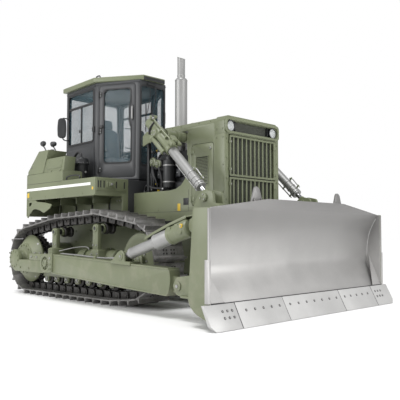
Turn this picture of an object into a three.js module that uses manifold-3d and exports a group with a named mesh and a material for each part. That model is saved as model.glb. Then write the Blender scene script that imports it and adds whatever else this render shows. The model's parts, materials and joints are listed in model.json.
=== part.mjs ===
// A tracked bulldozer with a straight tilting blade, built from its real sub-parts.
// Units are millimetres. -Y is the machine's front, +X its left side, +Z is up, and the ground is z = 0.
import * as THREE from "three";
import { mergeVertices } from "three/addons/utils/BufferGeometryUtils.js";
import Module from "manifold-3d";

const wasm = await Module();
wasm.setup();

// ---------- Driving dimensions ----------
const seat = 0.3; // gap between pieces that rest on each other
const running = 2; // gap between a pin or a sliding tube and what holds it
const clearance = 8; // gap between pieces that move past each other
const pinSides = 12; // flats round a pin or tube
const wheelSides = 20; // flats round a wheel or hub

// Tracks
const trackCentre = 1120;
const shoeWidth = 580;
const shoeCount = 43;
const idlerY = -680;
const idlerRise = 50; // the idler's axle above the sprocket's
const sprocketY = 2495;
const pinRadius = 515; // the chain's pin line round the idler and the sprocket
const grouserTip = 130; // these four are measured from the pin line
const shoeTop = 62;
const shoeUnder = 40;
const linkInner = 70;
const linkWidth = 210;
const carrierY = [250, 1500];
const carrierPinZ = [1370, 1316];
const chainSag = 4;
const rollerRadius = 112;
const rollerCount = 7;
const carrierRadius = 92;

// Hull
const drawbarEnd = 3140;
const frameHalf = 430;
const frameBottom = 480;
const hoodHalf = 620;
const hoodTop = 2800;
const hoodFront = -1860;
const noseDepth = 200;
const hoodRear = 10;
const sillRear = 235;
const sillTop = 1780;
const openingFront = -1095; // the engine bay's opening behind the hood doors
const skirtBottom = 1300;
const sheet = 24;
const noseWall = 60;
const lampBandBottom = 2545;
const doorGap = 6; // gap round a hinged panel
const hoodDoorFront = -1635;
const hoodDoorRear = -1180;
const hoodDoorBottom = 1520;
const hoodDoorTop = 2440;
const hoodDoorRadius = 45;
const grilleSplit = 1925;
const grilleBottom = 1210;
const grilleHalf = 520;
const barCount = 10;
const lampX = 483;
const lampZ = 2690;
const lampRadius = 62;
const exhaustY = -260;
const exhaustRadius = 105;
const exhaustTipRadius = 66;
const exhaustShoulder = 3733;
const exhaustTop = 4150;

// Cab
const cabFloor = 2060;
const cabTop = 3845;
const cabFrontY = 500;
const cabFrontHalf = 300;
const cabBendY = 1270;
const cabBendHalf = 705;
const cabRearY = 2340;
const cabRearHalf = 650;
const cabWall = 46;
const roofThick = 88;
const roofLip = 60;
const roofFrontHalf = 250;
const roofFrontY = 455;
const doorEdge = 82; // from the cab's corner posts to the door's edges
const doorBottom = 2110;
const doorTop = 3785;
const doorRadius = 60;
const doorThick = 46;
const glassThick = 8;
const windowRim = 78;
const frontRim = 26;
const windowTop = 3752;
const doorGlassBottom = 2367;
const sideGlassBottom = 2790;

// Fenders and tank
const fenderOuter = 1400;
const fenderInner = 735;
const fenderTop = 2010;
const fenderBottom = 1725;
const fenderFront = 240;
const fenderRear = 2480;
const fenderSkin = 30;
const fenderLegBottom = 1440;
const fenderTailBottom = 1420;
const lockerInner = 1000; // the locker stands on the fender, beside the cab
const lockerFront = 1230;
const lockerTop = 2190;
const tankRear = 2900;
const tankHalf = 760;
const tankTop = 2650;
const tankBottom = 1330;

// Push arms and blade
const armRearY = 1180;
const armRearZ = 612;
const armX = 1640;
const armWidth = 200;
const trunnionShaft = 64; // the pin that carries a push arm: its shaft, in the track frame's bracket
const trunnionKnob = 102; // and its knob, in the arm's eye
const armEyeWall = 48;
const armFrontY = -2100;
const armFrontZ = 440;
const lugWidth = 80;
const lugRadius = 85;
const armPinRadius = 38;
const bladeHalf = 1930;
const endPlate = 50;
const bladeTipY = -3040;
const bladeFrontY = -2890;
const bladeBottomZ = 290;
const bladeCornerZ = 1400;
const bladeTopZ = 1540;
const bladeTopHalf = 875; // half the width of the raised middle
const bladeBackY = -2540;
const bladeLip = 232; // the mouldboard's lower edge, behind the cutting edge
const mouldboard = 40;
const edgeTipZ = 6;
const edgeThick = 42;
const edgeHalf = bladeHalf + 135;
const edgeSplit = bladeHalf - 370;
const guardEarX = 940;
const guardEarY = -2735;
const guardEarTop = 1705;

// Lift cylinders
const bossReach = 80; // how far a trunnion boss stands out past the hood
const yokeReach = 400; // from the boss to the cylinder's centre line
const yokeInner = hoodHalf + bossReach;
const liftX = yokeInner + yokeReach;
const trunnionY = -975;
const trunnionZ = 2588;
const liftEyeY = -2037;
const liftEyeZ = 1585;
const barrelRadius = 76;
const ramRadius = 62;
const liftRodRadius = 36;
const barrelBelow = 415; // the barrel's mouth below the trunnion
const barrelAbove = 312;
const ramInside = 265; // how far the ram starts inside the barrel's mouth
const ramEnd = 1235; // the ram's lower end, from the trunnion
const liftEyeRadius = 76;
const liftEyeWidth = 84;
const liftEarGap = 24;
const liftEarPlate = 42;

// Tilt cylinder and brace
const braceX = 1670;
const braceRearY = -930;
const braceRearZ = 785;
const braceFrontY = -2390;
const braceFrontZ = 1215;
const tiltBarrelRadius = 105;
const tiltRodRadius = 66;
const tiltBarrelLength = 805;
const braceEyeRadius = 70;
const braceEyeWidth = 80;
const braceEarGap = 14;
const braceEarPlate = 30;

// ---------- Finishes ----------
const finishes = {
  olive: { color: 0x8b9173, roughness: 0.48, metalness: 0.1 },
  charcoal: { color: 0x55585b, roughness: 0.5, metalness: 0.1 },
  black: { color: 0x1c1d1e, roughness: 0.7, metalness: 0.1 },
  steel: { color: 0xb4b4b2, roughness: 0.4, metalness: 0.8 },
  track: { color: 0x4c4b48, roughness: 0.6, metalness: 0.6 },
  chrome: { color: 0xd8d8d8, roughness: 0.15, metalness: 1 },
  glass: { color: 0x9fb0b8, roughness: 0.05, metalness: 0, transparent: true, opacity: 0.35 },
  cushion: { color: 0x5d6670, roughness: 0.9, metalness: 0 },
};

// ---------- Shape helpers ----------
const X = new THREE.Vector3(1, 0, 0);
const Y = new THREE.Vector3(0, 1, 0);
const Z = new THREE.Vector3(0, 0, 1);

// A closed geometry as a solid that can be joined and cut.
function solidOf(geometry) {
  const loose = geometry.index ? geometry.toNonIndexed() : geometry;
  const bare = new THREE.BufferGeometry().setAttribute("position", loose.getAttribute("position"));
  const merged = mergeVertices(bare, 1e-3);
  const made = new wasm.Mesh({
    numProp: 3,
    vertProperties: merged.attributes.position.array,
    triVerts: new Uint32Array(merged.index.array),
  });
  return new wasm.Manifold(made);
}

function geometryOf(solid) {
  const made = solid.getMesh();
  const geometry = new THREE.BufferGeometry();
  geometry.setAttribute("position", new THREE.BufferAttribute(made.vertProperties, 3));
  geometry.setIndex(new THREE.BufferAttribute(made.triVerts, 1));
  const flat = geometry.toNonIndexed();
  flat.computeVertexNormals();
  return flat;
}

function join(...solids) {
  return solids.flat().reduce((all, one) => all.add(one));
}

function cut(solid, ...tools) {
  return tools.flat().reduce((left, tool) => left.subtract(tool), solid);
}

function box(x0, x1, y0, y1, z0, z1) {
  const geometry = new THREE.BoxGeometry(Math.abs(x1 - x0), y1 - y0, z1 - z0);
  geometry.translate((x0 + x1) / 2, (y0 + y1) / 2, (z0 + z1) / 2);
  return solidOf(geometry);
}

// A closed outline whose points are [u, v] or, for a rounded corner, [u, v, radius].
function outline(points) {
  const shape = new THREE.Shape();
  const count = points.length;
  points.forEach((point, i) => {
    const here = new THREE.Vector2(point[0], point[1]);
    const before = new THREE.Vector2(...points[(i + count - 1) % count].slice(0, 2));
    const after = new THREE.Vector2(...points[(i + 1) % count].slice(0, 2));
    const radius = point[2] || 0;
    const toBefore = before.sub(here);
    const toAfter = after.sub(here);
    const halfAngle = Math.abs(toBefore.angleTo(toAfter)) / 2;
    const wanted = radius / Math.tan(halfAngle);
    const reach = Math.min(wanted, toBefore.length() * 0.49, toAfter.length() * 0.49);
    const start = here.clone().add(toBefore.setLength(reach || 1e-9));
    const end = here.clone().add(toAfter.setLength(reach || 1e-9));
    const first = radius ? start : here;
    if (i === 0) shape.moveTo(first.x, first.y);
    else shape.lineTo(first.x, first.y);
    if (radius) shape.quadraticCurveTo(here.x, here.y, end.x, end.y);
  });
  shape.closePath();
  return shape;
}

// An outline carried along an axis: [y, z] points along x, [x, z] along y, or [x, y] along z.
function slab(axis, points, from, to, holes = [], curveSegments = 2) {
  const shape = points instanceof THREE.Shape ? points : outline(points);
  shape.holes = holes.map((hole) => (hole instanceof THREE.Path ? hole : outline(hole)));
  const low = Math.min(from, to);
  const depth = Math.abs(to - from);
  const geometry = new THREE.ExtrudeGeometry(shape, { depth, bevelEnabled: false, curveSegments });
  const frame = new THREE.Matrix4();
  if (axis === "x") frame.makeBasis(Y, Z, X).setPosition(low, 0, 0);
  if (axis === "y") frame.makeBasis(X, Z, Y.clone().negate()).setPosition(0, low + depth, 0);
  if (axis === "z") frame.setPosition(0, 0, low);
  return solidOf(geometry.applyMatrix4(frame));
}

// A profile of [along, radius] points turned round the line from one point towards another.
function turned(from, to, profile, sides = pinSides) {
  const direction = new THREE.Vector3().subVectors(to, from).normalize();
  const points = profile.map(([along, radius]) => new THREE.Vector2(radius, along));
  const geometry = new THREE.LatheGeometry(points, sides);
  geometry.applyQuaternion(new THREE.Quaternion().setFromUnitVectors(Y, direction));
  geometry.translate(from.x, from.y, from.z);
  const solid = solidOf(geometry);
  return solid.volume() < 0 ? solidOf(flipped(geometry)) : solid;
}

function flipped(geometry) {
  const loose = geometry.index ? geometry.toNonIndexed() : geometry.clone();
  const position = loose.getAttribute("position");
  for (let i = 0; i < position.count; i += 3) {
    const second = new THREE.Vector3().fromBufferAttribute(position, i + 1);
    const third = new THREE.Vector3().fromBufferAttribute(position, i + 2);
    position.setXYZ(i + 1, third.x, third.y, third.z);
    position.setXYZ(i + 2, second.x, second.y, second.z);
  }
  return loose;
}

function rod(from, to, radius, sides = pinSides) {
  const length = from.distanceTo(to);
  return turned(from, to, [[0, 0], [0, radius], [length, radius], [length, 0]], sides);
}

const at = (x, y, z) => new THREE.Vector3(x, y, z);

// ---------- The assembly ----------
const bulldozer = new THREE.Group();

function piece(name, solid, finish, position = at(0, 0, 0)) {
  const mesh = new THREE.Mesh(geometryOf(solid), new THREE.MeshStandardMaterial(finishes[finish]));
  mesh.name = name;
  mesh.position.copy(position);
  bulldozer.add(mesh);
  return mesh;
}

const sides = [
  { tag: "right", s: -1 },
  { tag: "left", s: 1 },
];

// ---------- Tracks ----------
const axleZ = pinRadius + grouserTip;

const idlerZ = axleZ + idlerRise;
const idlerAt = [idlerY, idlerZ];
const sprocketAt = [sprocketY, axleZ];
const firstRoller = [idlerY + 545, grouserTip];
const frontCarrier = [carrierY[0], carrierPinZ[0]];
const rearCarrier = [carrierY[1], carrierPinZ[1]];

// The angle round a wheel at which a straight run to a point leaves it.
function tangentAngle(wheel, point, turn) {
  const toPoint = new THREE.Vector2(point[0] - wheel[0], point[1] - wheel[1]);
  return toPoint.angle() + turn * Math.acos(pinRadius / toPoint.length());
}

const pinLine = new THREE.Path();
pinLine.moveTo(...firstRoller);
pinLine.lineTo(sprocketY, grouserTip);
pinLine.absarc(...sprocketAt, pinRadius, -Math.PI / 2, tangentAngle(sprocketAt, rearCarrier, -1), false);
pinLine.lineTo(...rearCarrier);
pinLine.quadraticCurveTo(
  (carrierY[0] + carrierY[1]) / 2,
  (carrierPinZ[0] + carrierPinZ[1]) / 2 - 2 * chainSag,
  ...frontCarrier,
);
const idlerTop = tangentAngle(idlerAt, frontCarrier, 1);
const idlerBottom = tangentAngle(idlerAt, firstRoller, -1);
pinLine.absarc(...idlerAt, pinRadius, idlerTop, idlerBottom, false);
pinLine.closePath();

const pins = pinLine.getSpacedPoints(shoeCount);
const halfLink = Math.asin(pins[0].distanceTo(pins[1]) / 2 / pinRadius);
const innerRadius = (pinRadius * Math.cos(halfLink) - linkInner) * Math.cos(halfLink);

// Points along and outside each link, as [share of the link, distance outside the pin line].
function loopOutline(steps) {
  const points = [];
  for (let i = 0; i < shoeCount; i += 1) {
    const along = new THREE.Vector2().subVectors(pins[i + 1], pins[i]);
    const out = new THREE.Vector2(along.y, -along.x).normalize();
    for (const [share, offset] of steps) {
      const point = pins[i].clone().addScaledVector(along, share).addScaledVector(out, offset);
      points.push([point.x, point.y]);
    }
  }
  return points;
}

const shoeSteps = [
  [0.62, shoeTop],
  [0.7, grouserTip],
  [0.8, grouserTip],
  [0.86, shoeTop],
];

function track() {
  const shoes = slab("x", loopOutline(shoeSteps), -shoeWidth / 2, shoeWidth / 2, [
    loopOutline([[0.5, shoeUnder]]),
  ]);
  const links = slab("x", loopOutline([[0.5, shoeUnder + 10]]), -linkWidth / 2, linkWidth / 2, [
    loopOutline([[0.5, -linkInner]]),
  ]);
  return join(shoes, links);
}

function idler() {
  const rim = innerRadius - running;
  const half = linkWidth / 2 - 12;
  const hub = linkWidth / 2 + 4;
  return turned(at(-hub, 0, 0), at(hub, 0, 0), [
    [0, 0],
    [0, 88],
    [hub - half + 30, 88],
    [hub - half + 30, rim - 90],
    [hub - half, rim - 60],
    [hub - half, rim - 12],
    [hub - half + 12, rim],
    [hub + half - 12, rim],
    [hub + half, rim - 12],
    [hub + half, rim - 60],
    [hub + half - 30, rim - 90],
    [hub + half - 30, 88],
    [2 * hub, 88],
    [2 * hub, 0],
  ], wheelSides);
}

const sprocketHole = 205;
const sprocketHalf = 42;
const sprocketTeeth = 27;

function sprocket() {
  const tip = innerRadius - running;
  const root = tip - 34;
  const points = [];
  for (let i = 0; i < sprocketTeeth; i += 1) {
    const turn = (i * 2 * Math.PI) / sprocketTeeth;
    const half = Math.PI / sprocketTeeth;
    for (const [share, radius] of [[-0.75, root], [-0.25, tip], [0.25, tip], [0.75, root]]) {
      points.push([radius * Math.cos(turn + share * half), radius * Math.sin(turn + share * half)]);
    }
  }
  const hole = rod(at(-sprocketHalf - 1, 0, 0), at(sprocketHalf + 1, 0, 0), sprocketHole, wheelSides);
  return cut(slab("x", points, -sprocketHalf, sprocketHalf), hole);
}

const beamHalf = 150;
const beamBottom = 340;
const beamTop = 600;
const beamRear = 2060;
const cheekThick = 36;
const armInner = armX - armWidth / 2 - trackCentre; // the push arm's two faces, from the track's centre
const armOuter = armX + armWidth / 2 - trackCentre;
const driveEnd = 1530; // the outer end of the final drive, from the machine's middle
const bearingRadius = 150;
const rearBeamInner = 1450;
const rearBeamOuter = 1620;
const rearBeamBottom = 430;
const rearBeamTop = 638;
const rearBeamFront = 1432;

function trackFrame(s) {
  const cheek = linkWidth / 2 + 4 + seat;
  const beam = slab("x", [
    [idlerY + 420, beamBottom],
    [beamRear, beamBottom],
    [beamRear - 120, beamTop],
    [idlerY + 420, beamTop],
  ], -beamHalf, beamHalf);
  const forks = [-1, 1].map((side) => slab("x", [
    [idlerY - 110, idlerZ - 95, 30],
    [idlerY + 500, beamBottom + 60],
    [idlerY + 500, beamTop + 60],
    [idlerY - 110, idlerZ + 95, 30],
  ], side * cheek, side * (cheek + cheekThick)));
  const recoil = rod(at(0, idlerY + 620, 700), at(0, 1020, 700), 142);
  const cover = rod(at(0, idlerY + 910, 700), at(0, 740, 700), 168);
  const rollers = [];
  const frontRoller = firstRoller[0] + 90;
  const lastRoller = beamRear - 130;
  for (let i = 0; i < rollerCount; i += 1) {
    const y = frontRoller + ((lastRoller - frontRoller) * i) / (rollerCount - 1);
    const z = grouserTip + linkInner + running + rollerRadius;
    rollers.push(rod(at(-100, y, z), at(100, y, z), rollerRadius, 16));
  }
  const carriers = carrierY.map((y, i) => {
    const z = carrierPinZ[i] - linkInner - 22 - carrierRadius;
    const wheel = rod(at(-96, y, z), at(96, y, z), carrierRadius);
    const axle = rod(at(-s * 96, y, z), at(s * 260, y, z), 40);
    const post = box(s * 190, s * 260, y - 70, y + 70, beamTop - 60, z + 58);
    const foot = box(s * 100, s * 270, y - 110, y + 110, beamTop - 60, beamTop + 250);
    return join(wheel, axle, post, foot);
  });
  return join(beam, forks, recoil, cover, rollers, carriers, armBracket(s));
}

// The bracket that holds a push arm's pin. It reaches out between the track's two runs.
const bracketFace = armInner - 2 * clearance;
const shaftDepth = 150;

function armBracket(s) {
  const bracket = box(
    s * (beamHalf - 10),
    s * bracketFace,
    armRearY - 170,
    rearBeamFront - seat,
    rearBeamBottom + 20,
    armRearZ + 140,
  );
  const bore = rod(
    at(s * (bracketFace - shaftDepth), armRearY, armRearZ),
    at(s * (bracketFace + 1), armRearY, armRearZ),
    trunnionShaft + running,
    wheelSides,
  );
  return cut(bracket, bore);
}

// The beam outside the sprocket, which carries the outer end of the final drive.
function rearBeam(s) {
  return slab("x", [
    [rearBeamFront, rearBeamBottom],
    [sprocketY + 20, rearBeamBottom, 90],
    [sprocketY + 60, rearBeamTop, 40],
    [rearBeamFront, rearBeamTop],
  ], s * rearBeamInner, s * rearBeamOuter);
}

// The drive's casing, the sprocket's seat, the outer cover and its bearing, on the beam.
const casingInner = 500;

function finalDrive(s) {
  const seatHalf = sprocketHalf + seat;
  const from = at(s * (casingInner + seat), sprocketY, axleZ);
  const to = at(s * driveEnd, sprocketY, axleZ);
  const x = (value) => value - casingInner - seat;
  const casing = turned(from, to, [
    [0, 0],
    [0, 290],
    [x(860), 290],
    [x(960), 245],
    [x(trackCentre - seatHalf), 245],
    [x(trackCentre - seatHalf), sprocketHole - seat],
    [x(trackCentre + seatHalf), sprocketHole - seat],
    [x(trackCentre + seatHalf), 318],
    [x(1232), 318],
    [x(1250), 420],
    [x(1264), 435],
    [x(1284), 428],
    [x(1402), 296],
    [x(1402), 282],
    [x(1432), 278],
    [x(1432), bearingRadius],
    [x(driveEnd), bearingRadius],
    [x(driveEnd), 0],
  ], wheelSides);
  return join(casing, rearBeam(s));
}

for (const { tag, s } of sides) {
  const centre = s * trackCentre;
  piece(`track_${tag}`, track(), "track", at(centre, 0, 0));
  piece(`idler_${tag}`, idler(), "track", at(centre, idlerY, idlerZ));
  piece(`sprocket_${tag}`, sprocket(), "track", at(centre, sprocketY, axleZ));
  piece(`track_frame_${tag}`, trackFrame(s), "olive", at(centre, 0, 0));
  piece(`final_drive_${tag}`, finalDrive(s), "olive");
}

// ---------- Main frame, engine and rear case ----------
const caseFront = 1480;
const frameTop = 1230;
const guardBottom = 1080;
const noseRear = hoodFront + noseDepth;
const trackFrameInner = trackCentre - beamHalf;

function mainFrame() {
  const keel = slab("x", [
    [hoodFront + 60, 800],
    [hoodFront + 420, frameBottom],
    [caseFront - seat, frameBottom],
    [caseFront - seat, frameTop],
    [noseRear + 130, frameTop],
    [noseRear + 130, guardBottom - seat],
    [hoodFront + 60, guardBottom - seat],
  ], -frameHalf, frameHalf);
  const equalizer = slab("y", [
    [-trackFrameInner + seat, 520],
    [-trackFrameInner + seat, 600],
    [0, 700],
    [trackFrameInner - seat, 600],
    [trackFrameInner - seat, 520],
    [0, 500],
  ], -200, -60);
  const pivotShaft = rod(at(-trackFrameInner + seat, 1380, 480), at(trackFrameInner - seat, 1380, 480), 85);
  return join(keel, equalizer, pivotShaft);
}

const drawbarZ = 620;

function rearCase() {
  const body = slab("x", [
    [caseFront, frameBottom],
    [2780, frameBottom + 40],
    [2880, 900],
    [2800, tankBottom - seat],
    [caseFront, tankBottom - seat],
  ], -casingInner, casingInner);
  const jaw = join(
    box(-110, 110, 2700, drawbarEnd, drawbarZ + 60, drawbarZ + 110),
    box(-110, 110, 2700, drawbarEnd, drawbarZ - 110, drawbarZ - 60),
    rod(at(0, 3060, drawbarZ - 110), at(0, 3060, drawbarZ + 190), 32),
  );
  return join(body, jaw);
}

const engineFloor = frameTop + 20;

// The arch behind the engine that holds the hood's rear end.
function hoodArch() {
  const half = hoodHalf - 90;
  return slab("y", [
    [-half, 1500],
    [half, 1500],
    [half, hoodTop - sheet - seat],
    [-half, hoodTop - sheet - seat],
  ], hoodRear - 50, hoodRear, [[
    [-half + 60, 1560],
    [half - 60, 1560],
    [half - 60, 2700],
    [-half + 60, 2700],
  ]]);
}

function engine() {
  return join(
    box(-300, 300, -1330, 200, engineFloor + seat, 2260),
    box(-170, 170, -1200, 100, 2200, 2480),
    box(-420, 420, -900, -40, 1500, 1760),
    hoodArch(),
  );
}

piece("main_frame", mainFrame(), "olive");
piece("rear_case", rearCase(), "olive");
piece("engine_block", engine(), "black");

// ---------- Radiator guard, grilles and lamp band ----------
const bracketThick = 40;
const bossRadius = 78;

function radiatorGuard() {
  const openingHalf = grilleHalf + 15;
  const coreHalf = hoodHalf - noseWall - 60;
  const shell = box(-hoodHalf, hoodHalf, hoodFront, noseRear - seat, guardBottom, lampBandBottom - seat);
  const opening = box(-openingHalf, openingHalf, hoodFront - 1, hoodFront + 60, grilleBottom, lampBandBottom + 1);
  const core = box(-coreHalf, coreHalf, noseRear - 30, noseRear + 110, grilleBottom + 30, lampBandBottom - 45);
  const brackets = sides.map(({ s }) => join(
    slab("x", [
      [noseRear - 60, 2330],
      [noseRear + 40, 2330],
      [trunnionY + bossRadius, trunnionZ - 60, 40],
      [trunnionY + bossRadius, trunnionZ + 60, 40],
      [noseRear + 40, 2640],
      [noseRear + seat, lampBandBottom - seat],
      [noseRear - 60, lampBandBottom - seat],
    ], s * (hoodHalf - sheet - clearance - bracketThick), s * (hoodHalf - sheet - clearance)),
    rod(
      at(s * (hoodHalf - sheet - clearance - bracketThick), trunnionY, trunnionZ),
      at(s * yokeInner, trunnionY, trunnionZ),
      bossRadius,
    ),
  ));
  return join(cut(shell, opening), core, brackets);
}

function grille(low, high) {
  const rim = 34;
  const frameBars = slab("y", [
    [-grilleHalf, low],
    [grilleHalf, low],
    [grilleHalf, high],
    [-grilleHalf, high],
  ], hoodFront - 12, hoodFront + 22, [[
    [-grilleHalf + rim, low + rim],
    [grilleHalf - rim, low + rim],
    [grilleHalf - rim, high - rim],
    [-grilleHalf + rim, high - rim],
  ]]);
  const bars = [];
  const pitch = (2 * grilleHalf) / (barCount + 1);
  for (let i = 1; i <= barCount; i += 1) {
    const x = -grilleHalf + i * pitch;
    bars.push(box(x - 14, x + 14, hoodFront - 4, hoodFront + 14, low + rim / 2, high - rim / 2));
  }
  return join(frameBars, bars);
}

function lampBand() {
  const shell = slab("y", [
    [-hoodHalf, lampBandBottom],
    [hoodHalf, lampBandBottom],
    [hoodHalf, hoodTop - 60, 40],
    [hoodHalf - 60, hoodTop + 15, 40],
    [-hoodHalf + 60, hoodTop + 15, 40],
    [-hoodHalf, hoodTop - 60, 40],
  ], hoodFront, noseRear - seat);
  const recess = slab("y", [
    [-hoodHalf + 70, lampBandBottom + 45, 50],
    [hoodHalf - 70, lampBandBottom + 45, 50],
    [hoodHalf - 70, hoodTop - 55, 50],
    [-hoodHalf + 70, hoodTop - 55, 50],
  ], hoodFront - 1, hoodFront + 70);
  const lamps = sides.map(({ s }) => {
    const x = s * lampX;
    return rod(at(x, hoodFront + 8, lampZ), at(x, hoodFront + 90, lampZ), lampRadius);
  });
  return join(cut(shell, recess), lamps);
}

piece("radiator_guard", radiatorGuard(), "olive");
piece("grille_lower", grille(grilleBottom + 12, grilleSplit - 8), "olive");
piece("grille_upper", grille(grilleSplit + 8, lampBandBottom - 12), "olive");
piece("lamp_band", lampBand(), "olive");

// ---------- Hood ----------
function hoodCover() {
  const top = slab("y", [
    [-hoodHalf, hoodTop - 75],
    [-hoodHalf + 70, hoodTop],
    [hoodHalf - 70, hoodTop],
    [hoodHalf, hoodTop - 75],
    [hoodHalf - sheet, hoodTop - 75],
    [hoodHalf - 80, hoodTop - sheet],
    [-hoodHalf + 80, hoodTop - sheet],
    [-hoodHalf + sheet, hoodTop - 75],
  ], noseRear, hoodRear);
  const hole = rod(at(0, exhaustY, hoodTop - 100), at(0, exhaustY, hoodTop + 100), exhaustRadius + seat);
  return cut(top, hole);
}

function hoodSide(s) {
  const panel = slab("x", [
    [noseRear, skirtBottom],
    [sillRear, skirtBottom],
    [sillRear, sillTop],
    [openingFront, sillTop, 690],
    [openingFront, 2675, 30],
    [-560, 2665],
    [-150, 2595],
    [hoodRear, 2548],
    [hoodRear, hoodTop - 75 - seat],
    [noseRear, hoodTop - 75 - seat],
  ], s * (hoodHalf - sheet), s * hoodHalf, [], 5);
  const opening = slab("x", hoodDoorOutline(doorGap), s * (hoodHalf - sheet - 1), s * (hoodHalf + 1));
  return cut(panel, opening);
}

function hoodDoorOutline(grow) {
  return [
    [hoodDoorFront - grow, hoodDoorBottom - grow, hoodDoorRadius],
    [hoodDoorRear + grow, hoodDoorBottom - grow, hoodDoorRadius],
    [hoodDoorRear + grow, hoodDoorTop + grow, hoodDoorRadius],
    [hoodDoorFront - grow, hoodDoorTop + grow, hoodDoorRadius],
  ];
}

function hoodDoor(s) {
  return slab("x", hoodDoorOutline(0), s * (hoodHalf - sheet), s * hoodHalf);
}

function exhaust() {
  const from = at(0, exhaustY, 2480 + seat);
  const z = (value) => value - 2480 - seat;
  const body = turned(from, at(0, exhaustY, exhaustTop), [
    [0, 0],
    [0, exhaustRadius],
    [z(exhaustShoulder), exhaustRadius],
    [z(exhaustShoulder + 18), exhaustRadius - 12],
    [z(exhaustShoulder + 18), exhaustTipRadius],
    [z(exhaustTop), exhaustTipRadius],
    [z(exhaustTop), 0],
  ]);
  const bore = rod(at(0, exhaustY, exhaustTop - 260), at(0, exhaustY, exhaustTop + 10), exhaustTipRadius - 8);
  const slant = box(-200, 200, -1000, 1000, 0, 400)
    .rotate([-22, 0, 0])
    .translate([0, exhaustY, exhaustTop - 30]);
  return cut(body, bore, slant);
}

piece("hood_cover", hoodCover(), "olive");
for (const { tag, s } of sides) {
  piece(`hood_side_${tag}`, hoodSide(s), "olive");
  piece(`hood_door_${tag}`, hoodDoor(s), "olive");
}
piece("exhaust_stack", exhaust(), "steel");

// ---------- Cab ----------
// The cab's plan, moved in from its outer faces by an inset.
function cabPlan(inset) {
  const corners = [
    [-cabFrontHalf, cabFrontY],
    [cabFrontHalf, cabFrontY],
    [cabBendHalf, cabBendY],
    [cabRearHalf, cabRearY],
    [-cabRearHalf, cabRearY],
    [-cabBendHalf, cabBendY],
  ];
  return insetPolygon(corners, inset);
}

// Moves each edge of a counter-clockwise polygon inwards.
function insetPolygon(corners, inset) {
  const count = corners.length;
  const lines = corners.map((corner, i) => {
    const start = new THREE.Vector2(...corner);
    const end = new THREE.Vector2(...corners[(i + 1) % count]);
    const along = end.clone().sub(start).normalize();
    const inward = new THREE.Vector2(-along.y, along.x);
    return { start: start.addScaledVector(inward, inset), along };
  });
  return lines.map((line, i) => {
    const before = lines[(i + count - 1) % count];
    const gap = line.start.clone().sub(before.start);
    const share = gap.cross(line.along) / before.along.cross(line.along);
    const corner = before.start.clone().addScaledVector(before.along, share);
    return [corner.x, corner.y];
  });
}

// A frame that stands on one wall of the cab: u runs along the wall, v is up and w points outwards.
function wallFrame(from, to) {
  const along = at(to[0] - from[0], to[1] - from[1], 0);
  const length = along.length();
  along.normalize();
  const out = new THREE.Vector3().crossVectors(along, Z);
  const matrix = new THREE.Matrix4().makeBasis(along, Z, out).setPosition(from[0], from[1], 0);
  return { matrix, length };
}

function onWall(wall, points, from, to, holes = []) {
  const shape = outline(points);
  shape.holes = holes.map(outline);
  const geometry = new THREE.ExtrudeGeometry(shape, { depth: to - from, bevelEnabled: false, curveSegments: 3 });
  geometry.translate(0, 0, from);
  return solidOf(geometry.applyMatrix4(wall.matrix));
}

function pane(u0, u1, v0, v1, radius) {
  return [
    [u0, v0, radius],
    [u1, v0, radius],
    [u1, v1, radius],
    [u0, v1, radius],
  ];
}

const corner = cabPlan(0);
const frontWall = wallFrame(corner[0], corner[1]);
const doorWall = {
  left: wallFrame(corner[1], corner[2]),
  right: wallFrame(corner[5], corner[0]),
};
const sideWall = {
  left: wallFrame(corner[2], corner[3]),
  right: wallFrame(corner[4], corner[5]),
};
const rearWall = wallFrame(corner[3], corner[4]);

const frontPane = pane(frontRim, frontWall.length - frontRim, 2330, windowTop, 60);
const sidePane = (length) => pane(windowRim, length - windowRim, sideGlassBottom, windowTop, 50);
const rearPane = pane(windowRim, rearWall.length - windowRim, 2780, windowTop, 60);

function doorOutline(grow) {
  const wall = doorWall.left;
  return pane(
    doorEdge - grow,
    wall.length - doorEdge + grow,
    doorBottom - grow,
    doorTop + grow,
    doorRadius + grow,
  );
}

function doorPane(grow) {
  const wall = doorWall.left;
  return pane(
    doorEdge + windowRim - grow,
    wall.length - doorEdge - windowRim + grow,
    doorGlassBottom - grow,
    doorTop - windowRim + grow,
    70,
  );
}

function cabShell() {
  const outer = slab("z", cabPlan(0), cabFloor, cabTop);
  const inner = slab("z", cabPlan(cabWall), cabFloor + 40, cabTop + 1);
  const hollow = cut(outer, inner);
  const tools = [
    onWall(frontWall, frontPane, -cabWall - 20, 20),
    onWall(rearWall, rearPane, -cabWall - 20, 20),
  ];
  for (const { tag } of sides) {
    tools.push(onWall(sideWall[tag], sidePane(sideWall[tag].length), -cabWall - 20, 20));
    tools.push(onWall(doorWall[tag], doorOutline(clearance), -cabWall - 20, 20));
  }
  return cut(hollow, tools);
}

// Glass that fills an opening's outline, set in the middle of the wall.
function glassOn(wall, points, thick) {
  const middle = -thick / 2;
  const shrink = insetPane(points, seat);
  return onWall(wall, shrink, middle - glassThick / 2, middle + glassThick / 2);
}

function insetPane(points, inset) {
  const [low, , high] = points;
  return pane(low[0] + inset, high[0] - inset, low[1] + inset, high[1] - inset, low[2]);
}

function cabRoof() {
  const eaves = insetPolygon(corner, -roofLip);
  eaves[0] = [-roofFrontHalf, roofFrontY];
  eaves[1] = [roofFrontHalf, roofFrontY];
  return slab("z", eaves, cabTop + seat, cabTop + roofThick);
}

function door(tag) {
  return onWall(doorWall[tag], doorOutline(0), -doorThick, 0, [doorPane(0)]);
}

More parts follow.
